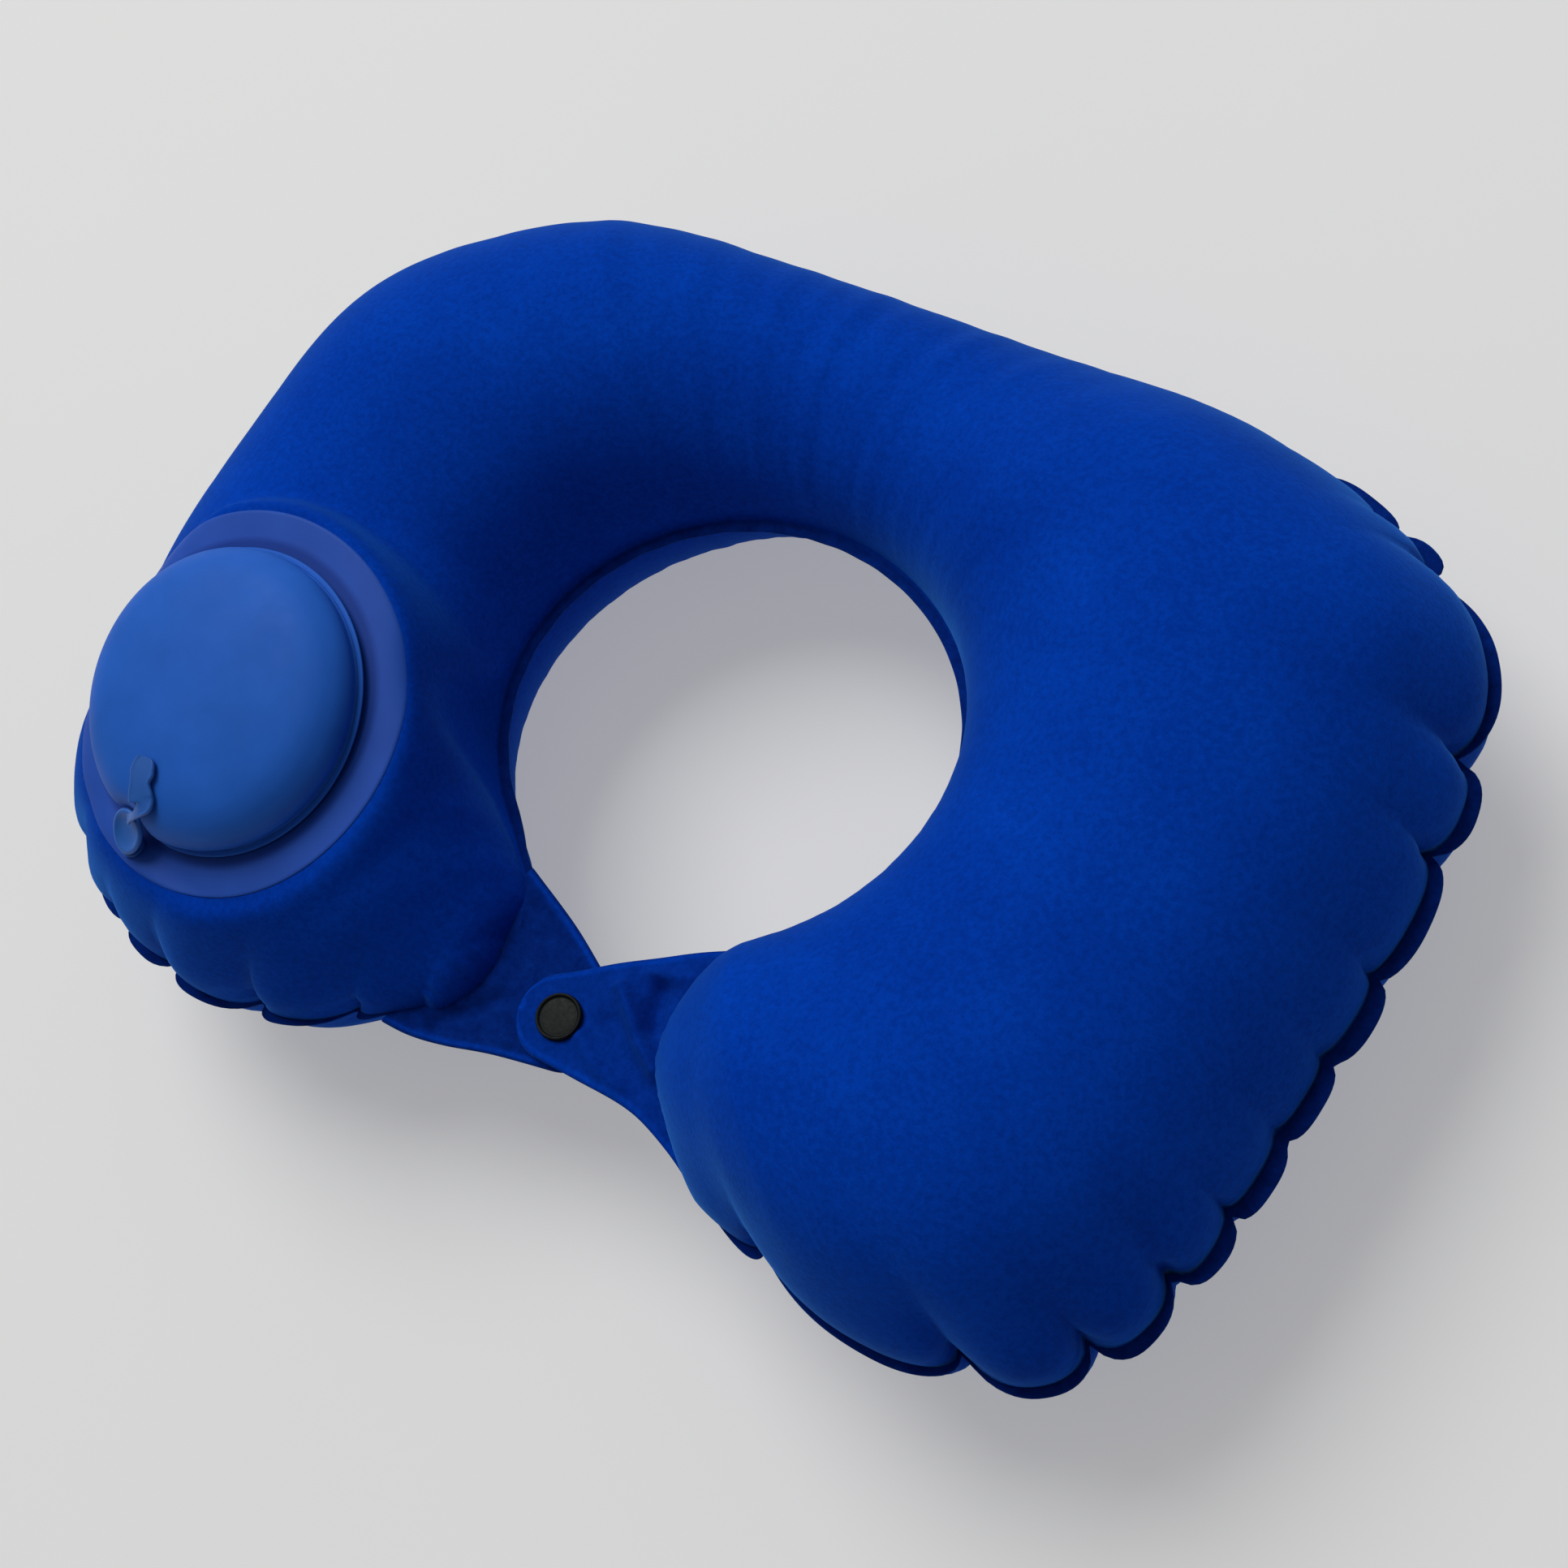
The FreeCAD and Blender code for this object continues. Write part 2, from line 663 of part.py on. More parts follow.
def release_plug():
    """The oval dished head, and the stem that seals the spout."""
    foot = "film_thickness + spout_lip_height + plug_head_gap"
    corners, arcs = capsule("plug_head_reach", "plug_head_radius")
    body = raised("release_plug", corners, foot, "plug_head_thickness", arcs)
    stem = new_sketch(body, "XY_Plane")
    draw_circle(stem, ("0", "0", "plug_stem_radius"))
    pad_of(body, stem, foot + " - plug_stem_depth", "plug_stem_depth")
    dish = new_sketch(body, "XY_Plane")
    corners, arcs = capsule("plug_head_reach", "plug_dish_radius")
    draw_outline(dish, corners, arcs)
    dish.setExpression("AttachmentOffset.Base.z", expression(foot + " + plug_head_thickness"))
    doc.recompute()
    before = body.Shape.Volume
    hollow = body.newObject("PartDesign::Pocket", "PlugDish")
    hollow.Profile = dish
    hollow.Length = size("plug_dish_depth")
    hollow.setExpression("Length", "Sizes.plug_dish_depth")
    doc.recompute()
    if body.Shape.Volume > before - 1e-3:
        raise ValueError("the plug's dish cut nothing")
    body.Placement = AT_PLUG


release_plug()

# The strap's middle line in the pump's frame, with its half width at each
# point: a bean-shaped pull lying on the dome, a waist, and a narrow neck that
# comes down over the dome's side to the plug's head.
STRAP_LINE = [
    (-3.2, -21.2, 16.9, 1.2),
    (-3.1, -23.4, 16.7, 2.6),
    (-2.6, -27.2, 16.0, 2.9),
    (-1.4, -31.0, 15.0, 3.0),
    (-1.6, -34.0, 14.0, 1.6),
    (-3.4, -39.2, 12.1, 1.0),
    (-6.4, -43.6, 8.0, 1.0),
    (-8.8, -43.8, 4.2, 1.0),
]


def strap_section(i):
    """The strap's rectangular section at a point of its line."""
    points = [FreeCAD.Vector(*row[:3]) for row in STRAP_LINE]
    along = points[min(i + 1, len(points) - 1)] - points[max(i - 1, 0)]
    side = along.cross(FreeCAD.Vector(0, 0, 1)).normalize() * STRAP_LINE[i][3]
    above = side.cross(along).normalize() * (size("strap_thickness") / 2.0)
    corners = [points[i] + side + above, points[i] - side + above,
               points[i] - side - above, points[i] + side - above]
    return Part.makePolygon(corners + corners[:1])


strap = doc.addObject("Part::Feature", "StrapLoft")
strap.Shape = Part.makeLoft([strap_section(i) for i in range(len(STRAP_LINE))], True, True)
strap.Placement = PUMP
keep(strap, "release_strap")

# ---------------------------------------------------------- check and write

doc.recompute()
for thing in doc.Objects:
    if {"Invalid", "Error"} & set(thing.State):
        raise ValueError("%s is %s" % (thing.Label, thing.State))

os.makedirs("parts", exist_ok=True)
for node in nodes:
    shape = node.Shape
    if shape.isNull() or not shape.isValid():
        raise ValueError(node.Label + " has no valid shape")
    if len(shape.Solids) != 1:
        raise ValueError("%s has %d solids" % (node.Label, len(shape.Solids)))
    shape.exportStep("parts/%s.step" % node.Label)
    box = shape.BoundBox
    print("%-16s %9.1f mm3  x %7.2f %7.2f  y %7.2f %7.2f  z %7.2f %7.2f" % (
        node.Label, shape.Volume, box.XMin, box.XMax, box.YMin, box.YMax, box.ZMin, box.ZMax))
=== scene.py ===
"""Looks of the inflatable U-shaped neck pillow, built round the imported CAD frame.  Metres."""

import json
import math

import bmesh
import bpy
import numpy as np
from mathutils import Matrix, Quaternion, Vector
from mathutils.bvhtree import BVHTree


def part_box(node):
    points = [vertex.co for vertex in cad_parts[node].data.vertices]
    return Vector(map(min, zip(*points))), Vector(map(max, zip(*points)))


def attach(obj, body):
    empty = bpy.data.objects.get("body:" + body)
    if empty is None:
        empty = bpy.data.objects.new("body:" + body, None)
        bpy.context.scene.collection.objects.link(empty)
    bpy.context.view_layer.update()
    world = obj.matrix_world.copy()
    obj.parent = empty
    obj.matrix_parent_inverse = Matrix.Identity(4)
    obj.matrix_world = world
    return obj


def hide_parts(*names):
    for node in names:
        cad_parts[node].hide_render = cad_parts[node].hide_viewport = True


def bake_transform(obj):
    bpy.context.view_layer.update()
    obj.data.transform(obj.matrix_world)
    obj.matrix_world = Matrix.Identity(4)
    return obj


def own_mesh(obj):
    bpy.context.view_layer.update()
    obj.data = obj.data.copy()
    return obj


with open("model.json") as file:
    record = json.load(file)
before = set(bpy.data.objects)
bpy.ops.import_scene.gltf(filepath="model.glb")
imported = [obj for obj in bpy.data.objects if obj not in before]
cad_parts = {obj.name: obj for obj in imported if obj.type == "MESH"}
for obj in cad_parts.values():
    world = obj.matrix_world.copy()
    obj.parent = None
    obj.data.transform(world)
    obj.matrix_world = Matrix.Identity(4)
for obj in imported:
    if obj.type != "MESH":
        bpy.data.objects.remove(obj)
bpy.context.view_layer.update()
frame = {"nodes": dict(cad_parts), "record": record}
RECORD = frame["record"]
JOINTS = {joint["name"]: joint for joint in RECORD["behaviour"]["joints"]}

MM = 0.001

# ------------------------------------------------------- where things are
# From the frame: the weld's height, the pump's place and axis, the spout and the snap.

WELD_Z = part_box("upper_panel")[0][2]


def middle_of(node):
    low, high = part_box(node)
    return (Vector(low) + Vector(high)) / 2


PUMP_UP = -Vector(JOINTS["pump_press"]["axis"]).normalized()
PUMP_AT = middle_of("pump_flange") - PUMP_UP * 0.25 * MM
PLUG_AT = middle_of("release_spout")
SNAP_AT = middle_of("snap_cap")

# Where the chamber swells past the CAD panel's plain curve, or falls short of
# it: degrees from the back (+X side positive), mm, and spread in degrees.
SWELLS = ((15, -2, 30), (62, 8, 11), (125, 3, 8), (147, -3, 6),
          (-53, -5, 12), (-80, -7, 14), (-108, -3, 9), (-143, 4, 9))

# The hole's ellipse, in mm.
HOLE_HALF_WIDTH = 68.7
HOLE_HALF_DEPTH = 60.8
HOLE_Y = -4.9

# Where the arms end, in degrees from the back, and over how many degrees they
# round off.  Their welds bow back from the very end by END_BOW degrees.
ARM_END = 160.0
LEFT_END_EXTRA = 3.0
ARM_END_ROUNDING = 20.0
END_BOW = 7.0
LEFT_OUTER_BOW = 2.5
END_BOW_START = 26.0

# The section: half its height where it is ARM_HALF_WIDTH mm to each side of its
# middle, the power of its width that the height follows, and its limit.
ARM_HALF_WIDTH = 58.0
ARM_HALF_HEIGHT = 55.2
HEIGHT_POWER = 0.52
TALLEST = 1.05

# How far the outer weld is tucked under behind the neck, and where, in degrees.
TUCK = 27.7
TUCK_AT = -8.0
TUCK_SPAN = 36.0

# The weld margins, how far apart their faces are, and the walls, in mm.
OUTER_MARGIN = 5.4
INNER_MARGIN = 3.4
WELD_APART = 0.6
SHEET_WALL = 0.5
FILM_WALL = 0.35
DOME_WALL = 1.5

WELD_HEIGHT = WELD_Z / MM
PUMP_X = PUMP_AT.x / MM
PUMP_Y = PUMP_AT.y / MM - HOLE_Y
PUMP_RISE = PUMP_AT.z / MM - WELD_HEIGHT
FILM_RADIUS = 51.4
PUMP_HOLE = 39.5

# How finely the sheets are divided: steps along the arms and over a section.
ALONG = 720
ACROSS = 48
COARSENESS = 1


def eased(value):
    value = np.clip(value, 0.0, 1.0)
    return value * value * (3.0 - 2.0 * value)


def smooth_curve(knots, values, at):
    """A smooth line through the values: cubic pieces with Catmull-Rom slopes."""
    knots = np.array(knots, float)
    values = np.array(values, float)
    slopes = np.gradient(values, knots)
    slopes[0] = 0.0
    i = np.clip(np.searchsorted(knots, at, side="right") - 1, 0, len(knots) - 2)
    span = knots[i + 1] - knots[i]
    u = np.clip((at - knots[i]) / span, 0.0, 1.0)
    a = (1 + 2 * u) * (1 - u) ** 2 * values[i] + u * (1 - u) ** 2 * span * slopes[i]
    return a + u * u * (3 - 2 * u) * values[i + 1] - u * u * (1 - u) * span * slopes[i + 1]


OUTLINE_STEP = 5.0


def cad_outline():
    """The CAD panel's outer cut edge: degrees from the back, and mm from the hole's centre."""
    corners = np.array([vertex.co[:] for vertex in frame["nodes"]["upper_panel"].data.vertices]) / MM
    rim = corners[corners[:, 2] < WELD_HEIGHT + 0.05]
    angle = np.degrees(np.arctan2(rim[:, 0], rim[:, 1] - HOLE_Y))
    reach = np.hypot(rim[:, 0], rim[:, 1] - HOLE_Y)
    steps = np.arange(-ARM_END, ARM_END + 1.0, OUTLINE_STEP)
    steps = [step for step in steps if np.any(np.abs(angle - step) < 0.5)]
    return steps, [reach[np.abs(angle - step) < 0.5].max() for step in steps]


OUTLINE_ANGLES, OUTLINE_EDGE = cad_outline()


def outer_weld(angle):
    """The outer weld's distance from the hole's centre, before it gathers into lobes."""
    cut_edge = smooth_curve(OUTLINE_ANGLES, OUTLINE_EDGE, np.clip(angle, -ARM_END, ARM_END))
    total = cut_edge - OUTER_MARGIN - 1.0
    for at, tall, spread in SWELLS:
        total = total + tall * np.exp(-((angle - at) / spread) ** 2)
    return total


def inner_weld(angle):
    turn = np.radians(angle)
    reach = np.hypot(HOLE_HALF_DEPTH * np.sin(turn), HOLE_HALF_WIDTH * np.cos(turn))
    return HOLE_HALF_WIDTH * HOLE_HALF_DEPTH / reach


def hole_edge(angle):
    """The cut edge of the inner weld margin: it leaves the hole's ellipse
    where the arms run out into the tabs."""
    return inner_weld(angle) - INNER_MARGIN + 4.5 * eased((np.abs(angle) - 134.0) / 20.0)


def chamber_inner(angle):
    """The inner weld, rounded away from the hole at the arms' ends."""
    past = np.clip((np.abs(angle) - 132.0) / 28.0, 0.0, 0.995)
    return inner_weld(angle) + 14.0 * (1.0 - np.sqrt(1.0 - past ** 2))


def bowed(angle, across):
    """The arms end in a rounded line: both welds stop short of the middle."""
    past = eased((np.abs(angle) - (ARM_END - END_BOW_START)) / END_BOW_START)
    reach = np.where((angle < 0) & (across > 0), LEFT_OUTER_BOW, END_BOW)
    return angle - np.sign(angle) * reach * past * across ** 2


def arm_end(angle):
    """Where the arm on this side ends: the left one runs a little further."""
    return np.where(angle < 0, ARM_END + LEFT_END_EXTRA, ARM_END)


def to_arm_end(angle):
    """1 along the arms, falling to 0 at their very ends."""
    return eased((arm_end(angle) - np.abs(angle)) / 9.0)


def end_rounding(angle):
    """1 along the arms, falling to 0 at their ends in a quarter round."""
    past = (np.abs(angle) - (ARM_END - ARM_END_ROUNDING)) / (arm_end(angle) - ARM_END + ARM_END_ROUNDING)
    return np.sqrt(np.maximum(1.0 - np.clip(past, 0.0, 1.0) ** 2, 0.0))


def half_height(angle):
    half_width = (outer_weld(angle) - inner_weld(angle)) / 2
    natural = ARM_HALF_HEIGHT * (half_width / ARM_HALF_WIDTH) ** HEIGHT_POWER
    return np.minimum(natural, TALLEST * half_width)


def tuck(angle):
    """How far round the section, in radians, the outer weld is tucked under
    the chamber: behind the neck it can't be seen from above."""
    return math.radians(TUCK) * (1.0 - eased((np.abs(angle - TUCK_AT) - TUCK_SPAN) / 18.0))


# Where the outer weld gathers into notches: the angle in degrees from the back, and
# the depth and the crease's length in mm.  Four faint ones lie behind the neck.
RIGHT_NOTCHES = (
    (43, 1.0, 10), (51, 3.5, 12), (55.5, 6.0, 14), (70.5, 8.5, 22),
    (78, 5.5, 16), (88, 3.0, 9), (95, 2.5, 8), (101.5, 2.6, 8), (108, 3.0, 9), (114, 8.0, 20),
    (121.3, 8.0, 20), (129.8, 10.5, 26), (145, 6.5, 18), (156, 5.0, 12),
)
LEFT_NOTCHES = (
    (67, 2.0, 10), (79, 2.5, 12),
    (90, 3.5, 14), (100, 4.5, 14), (112, 6.0, 22), (125, 8.0, 26), (131, 5.0, 12),
    (137, 6.5, 18), (145, 9.0, 32), (153, 8.0, 28), (159, 3.0, 10),
)
NOTCHES = sorted([(a, d, c) for a, d, c in RIGHT_NOTCHES] + [(-a, d, c) for a, d, c in LEFT_NOTCHES]
                 + [(-50, 1.0, 10), (-25, 0.5, 10), (0, 0.5, 10), (25, 0.6, 10)])
NOTCH_AT = np.array([n[0] for n in NOTCHES])
NOTCH_DEPTH = np.array([n[1] for n in NOTCHES], float)
NOTCH_REACH = np.array([n[2] for n in NOTCHES], float)


def lobes(angle):
    """How far the outer weld stands in from its lobes' crests, in mm, and how
    deep the notches beside this lobe are."""
    i = np.clip(np.searchsorted(NOTCH_AT, angle, side="right") - 1, 0, len(NOTCH_AT) - 2)
    span = NOTCH_AT[i + 1] - NOTCH_AT[i]
    u = np.clip((angle - NOTCH_AT[i]) / span, 0.0, 1.0)
    depth = NOTCH_DEPTH[i] * (1 - u) + NOTCH_DEPTH[i + 1] * u
    bow = (1.0 - np.abs(2 * u - 1) ** 2.6) ** (1 / 2.0)
    return depth * (1.0 - bow), depth


def crease(angle, radius, inward):
    """How deep the valleys that run in from the notches are, in mm."""
    total = np.zeros(np.broadcast(angle, inward).shape)
    for at, depth, reach in zip(NOTCH_AT, NOTCH_DEPTH, NOTCH_REACH):
        beside = np.abs(angle - at) * math.pi / 180 * radius
        width = 2.0 + 0.14 * inward + 0.22 * depth
        fade = np.exp(-(inward / reach) ** 1.4)
        total += 1.1 * depth * fade * np.exp(-(beside / width) ** 1.2)
    return total


PUMP_ANGLE = math.degrees(math.atan2(PUMP_X, PUMP_Y))
PUMP_DISTANCE = math.hypot(PUMP_X, PUMP_Y)
OUTWARD_X = PUMP_X / PUMP_DISTANCE
OUTWARD_Y = PUMP_Y / PUMP_DISTANCE


def pump_flat(x, y):
    """1 where the sheet lies flat under the pump, 0 well away from it.  The
    flat ends sooner on the outer side, where the film ring drapes."""
    outward = (x - PUMP_X) * OUTWARD_X + (y - PUMP_Y) * OUTWARD_Y
    away = np.hypot(x - PUMP_X, y - PUMP_Y)
    side = eased(outward / 45.0)
    edge = 51.5 - 18.0 * side
    fade = 8.0 + 18.0 * side
    return 1.0 - eased((away - edge) / fade)


def pump_seat(x, y):
    slope_x = -PUMP_UP.x / PUMP_UP.z
    slope_y = -PUMP_UP.y / PUMP_UP.z
    return PUMP_RISE - 0.5 + slope_x * (x - PUMP_X) + slope_y * (y - PUMP_Y)


def around(angle, distance, z):
    """Points at an angle from the back and a distance from the hole's centre."""
    turn = np.radians(angle)
    return np.stack([distance * np.sin(turn), distance * np.cos(turn) + HOLE_Y, z], -1)


def section(angle, turn, upper):
    """The smooth section, as (across, lift): -1..1 from the hole outwards, and 0..1 upwards."""
    near_pump = 1.0 - eased(np.abs(angle - PUMP_ANGLE) / 34.0) if upper else 0.0 * angle
    squareness = 2.0 + 2.0 * near_pump * eased(turn / (math.pi / 2) - 0.6)
    across = np.sign(np.cos(turn)) * np.abs(np.cos(turn)) ** (2 / squareness)
    lift = np.sign(np.sin(turn)) * np.abs(np.sin(turn)) ** (2 / squareness)
    return across, lift


def pleats(angle, distance):
    """Fine pleats across the welds that close the arms' ends, in mm."""
    from_end = (arm_end(angle) - np.abs(angle)) * math.pi / 180 * distance
    fade = np.exp(-(from_end / 9.0) ** 1.5)
    wave = np.sin(distance * 1.45 + 0.6 * np.sin(distance * 0.31)) + 0.5 * np.sin(distance * 2.3 + 1.0)
    return np.where(angle < 0, 0.85, 0.5) * wave * fade


def ripples(angle, turn):
    """Long faint ripples where the sheet is gathered round its bends, in mm."""
    behind = np.exp(-((angle + 12.0) / 42.0) ** 4)
    side = np.exp(-((np.abs(angle) - 128.0) / 24.0) ** 4)
    outside = np.exp(-(turn / 1.3) ** 4)
    hole_side = np.exp(-((math.pi - turn) / 0.9) ** 4)
    along = 0.32 * np.sin(angle * 0.62 + 0.8 * np.sin(angle * 0.13)) + 0.2 * np.sin(angle * 1.13 + 2.0)
    fine = 0.12 * np.sin(angle * 2.1 + 1.2 * np.sin(angle * 0.27))
    return (along * behind * (0.5 + outside) + 1.4 * along * side * outside
            + 0.7 * (along + fine) * hole_side)


def chamber(angle, share, upper):
    """Points of one sheet, from the outer weld (share 0) to the inner (share 1)."""
    under = tuck(angle)
    start = -under if upper else under
    turn = start + (math.pi - start) * share
    across, lift = section(angle, turn, upper)
    rounding = end_rounding(angle)
    angle = bowed(angle, across)
    nominal = outer_weld(angle)
    inner = chamber_inner(angle)
    standing_in, depth = lobes(angle)
    half_width = (nominal - inner) / 2
    middle = (nominal + inner) / 2
    tall = half_height(angle) * rounding
    inward = half_width * (1 - across) * 0.8 + tall * np.abs(lift) * 0.75
    fade = np.exp(-(inward / 15.0) ** 1.2)
    swell = 0.42 * depth * np.exp(-((inward - 8) / 12.0) ** 2)
    outer = nominal - standing_in * fade + swell
    valley = crease(angle, nominal, inward) * rounding
    distance = np.where(across > 0, middle + (outer - middle) * across, middle + half_width * across)
    height = tall * lift
    x = distance * np.sin(np.radians(angle))
    y = distance * np.cos(np.radians(angle))
    distance = distance - valley * np.clip(across, 0, 1) * 0.6 * eased(inward / 5.0)
    height = height - valley * np.clip(lift, 0, 1) * 0.8
    height = height + pleats(angle, distance) * np.clip(lift * 2.5, 0, 1)
    height = height + ripples(angle, turn) * np.clip(lift, 0, 1)
    if upper:
        flat = pump_flat(x, y) * eased(tall / PUMP_RISE * 2.0) * eased(lift * 3.0)
        height = height * (1 - flat) + pump_seat(x, y) * np.clip(lift, 0, 1) ** 0.2 * flat
        z = WELD_HEIGHT + height
    else:
        over = (height - WELD_HEIGHT) / 1.2
        height = height - 1.2 * np.logaddexp(0.0, over)
        z = WELD_HEIGHT - height
    return around(angle, distance, z)


def margin(angle, share, upper):
    """Points of the outer weld margin, from the weld (share 0) to its edge."""
    taper = to_arm_end(angle)
    rounding = end_rounding(angle)
    angle = bowed(angle, 1.0)
    standing_in, depth = lobes(angle)
    pinch = 1.0 - 0.35 * standing_in / np.maximum(depth, 0.1)
    under = tuck(angle)
    nominal = outer_weld(angle)
    half_width = (nominal - chamber_inner(angle)) / 2
    weld = nominal - half_width * (1 - np.cos(under))
    weld_low = half_height(angle) * rounding * np.sin(under)
    droop = 1.6 * under
    reach = OUTER_MARGIN * share * pinch * taper
    distance = weld - standing_in + reach * np.cos(droop)
    ripple = np.sin(np.radians(angle) * 23.0) * 0.5 + np.sin(np.radians(angle) * 41.0 + 1.3) * 0.5
    wave = (1.4 * ripple * np.minimum(depth / 4.0, 1.2)) * share ** 1.3
    half = WELD_APART * 0.55 * np.sqrt(np.maximum(1.0 - share ** 6, 0.0))
    z = WELD_HEIGHT - weld_low - reach * np.sin(droop) + wave + (half if upper else -half)
    return around(angle, distance, z)


def inner_margin(angle, share, upper):
    """Points of the inner weld margin, from the weld to the hole's cut edge."""
    taper = to_arm_end(angle)
    angle = bowed(angle, 1.0)
    weld = chamber_inner(angle)
    distance = weld - (weld - hole_edge(angle)) * share * taper
    half = WELD_APART * 0.55 * np.sqrt(np.maximum(1.0 - share ** 6, 0.0))
    wave = 0.25 * np.sin(np.radians(angle) * 31.0) * share
    z = WELD_HEIGHT + wave + (half if upper else -half)
    return around(angle, distance, z)


def grid_mesh(name, rows, closed=False, flip=False, **marks):
    """A mesh from a grid of points in mm.  closed joins the last column to the
    first, and each mark is a number for every point, which materials read."""
    count, width = rows.shape[:2]
    index = np.arange(count * width).reshape(count, width)
    if closed:
        index = np.hstack([index, index[:, :1]])
    a, b = index[:-1, :-1], index[:-1, 1:]
    c, d = index[1:, 1:], index[1:, :-1]
    faces = np.stack([a, d, c, b] if flip else [a, b, c, d], -1).reshape(-1, 4)
    mesh = bpy.data.meshes.new(name)
    mesh.from_pydata((rows.reshape(-1, 3) * MM).tolist(), [], faces.tolist())
    for mark, values in marks.items():
        layer = mesh.attributes.new(mark, "FLOAT", "POINT")
        layer.data.foreach_set("value", np.broadcast_to(values, (count, width)).ravel())
    mesh.update()
    mesh.polygons.foreach_set("use_smooth", [True] * len(mesh.polygons))
    piece = bpy.data.objects.new(name, mesh)
    bpy.context.scene.collection.objects.link(piece)
    return piece


def tidy_mesh(piece, drop=None, top=None):
    """Merge doubled points, take away the faces that drop picks, and turn the rest
    outwards: on an open sheet, so that the face furthest along top faces that way."""
    work = bmesh.new()
    work.from_mesh(piece.data)
    bmesh.ops.remove_doubles(work, verts=work.verts, dist=0.01 * MM)
    if drop:
        gone = [face for face in work.faces if drop(face.calc_center_median())]
        bmesh.ops.delete(work, geom=gone, context="FACES")
    bmesh.ops.recalc_face_normals(work, faces=work.faces)
    if top is not None:
        highest = max(work.faces, key=lambda face: face.calc_center_median().dot(top))
        if highest.normal.dot(top) < 0:
            bmesh.ops.reverse_faces(work, faces=work.faces)
    work.to_mesh(piece.data)
    work.free()


def thicken(piece, thickness):
    """Give a sheet its real thickness, inwards, closed round its edges."""
    bpy.context.view_layer.update()
    solid = piece.modifiers.new("thickness", "SOLIDIFY")
    solid.thickness = thickness * MM
    solid.offset = -1.0
    solid.use_even_offset = False
    graph = bpy.context.evaluated_depsgraph_get()
    mesh = bpy.data.meshes.new_from_object(piece.evaluated_get(graph))
    old = piece.data
    piece.modifiers.clear()
    piece.data = mesh
    mesh.name = piece.name
    bpy.data.meshes.remove(old)


def arm_angles(count):
    """Angles from one arm's end to the other's, closer together at the ends."""
    u = np.linspace(-1, 1, count)
    body = ARM_END - ARM_END_ROUNDING
    share = body / (body + ARM_END_ROUNDING * math.pi / 2)
    rounding = np.where(u < 0, ARM_END_ROUNDING + LEFT_END_EXTRA, ARM_END_ROUNDING)
    along = np.where(np.abs(u) < share, u / share * body, 0.0)
    past = np.clip((np.abs(u) - share) / (1 - share), 0, 1)
    ends = np.sign(u) * (body + rounding * np.sin(past * math.pi / 2))
    return np.where(np.abs(u) < share, along, ends)


MARGIN_SHARES = np.linspace(1, 0, 9)[None, :-1]
HOLE_SHARES = np.linspace(0, 1, 6)[None, 1:]


def panel(name, upper):
    """One sheet of the chamber, from its outer cut edge to the hole's."""
    angle = arm_angles(ALONG // COARSENESS)[:, None]
    share = np.linspace(0, 1, ACROSS // COARSENESS)[None, :]
    arch = chamber(angle, share, upper)
    edge = margin(angle, MARGIN_SHARES, upper)
    hole = inner_margin(angle, HOLE_SHARES, upper)
    rows = np.concatenate([edge, arch, hole], 1)
    welded = np.concatenate([1.0 + 0 * MARGIN_SHARES[0], 0 * share[0], 1.0 + 0 * HOLE_SHARES[0]])
    return grid_mesh(name, rows, flip=not upper, welded=welded[None, :])


# ------------------------------------------------------------- the pump's frame

PUMP_ACROSS = Vector((0, PUMP_UP.z, -PUMP_UP.y)).normalized()
PUMP_SIDE = PUMP_ACROSS.cross(PUMP_UP)
PUMP_AXES = np.array([list(PUMP_SIDE), list(PUMP_ACROSS), list(PUMP_UP)])
PUMP_ORIGIN = np.array(list(PUMP_AT)) / MM


def in_pump(points):
    """Points of the pump's frame, in mm of the pillow's frame."""
    return np.asarray(points, float) @ PUMP_AXES + PUMP_ORIGIN


def pump_radius(point):
    """How far a point in metres is from the pump's axis, in mm."""
    return ((point - PUMP_AT).cross(PUMP_UP)).length / MM


# The dome's side, as (radius, height) in mm: its thin foot flange, the
# undercut over it, the rolled edge and the broad crown.
DOME_RADII = (40.8, 41.0, 40.6, 39.5, 39.2, 39.5, 39.9, 39.7, 38.8, 37.1, 34.8, 31.5, 26.5, 20, 14, 7, 0)
DOME_HEIGHTS = (0.4, 0.8, 1.15, 1.25, 1.9, 3.0, 4.5, 6.2, 8.2, 10.2, 12.1, 13.8, 15.2, 16.3, 17.0, 17.3, 17.4)
PLUG_DIRECTION = math.degrees(math.atan2((PLUG_AT - PUMP_AT).dot(PUMP_ACROSS),
                                         (PLUG_AT - PUMP_AT).dot(PUMP_SIDE)))
PLUG_DENT = 3.2
PLUG_DENT_WIDTH = 5.2
FOAM_LOW = 0.3
FOAM_HEIGHT = 12.4
FOAM_RADIUS = 24.0


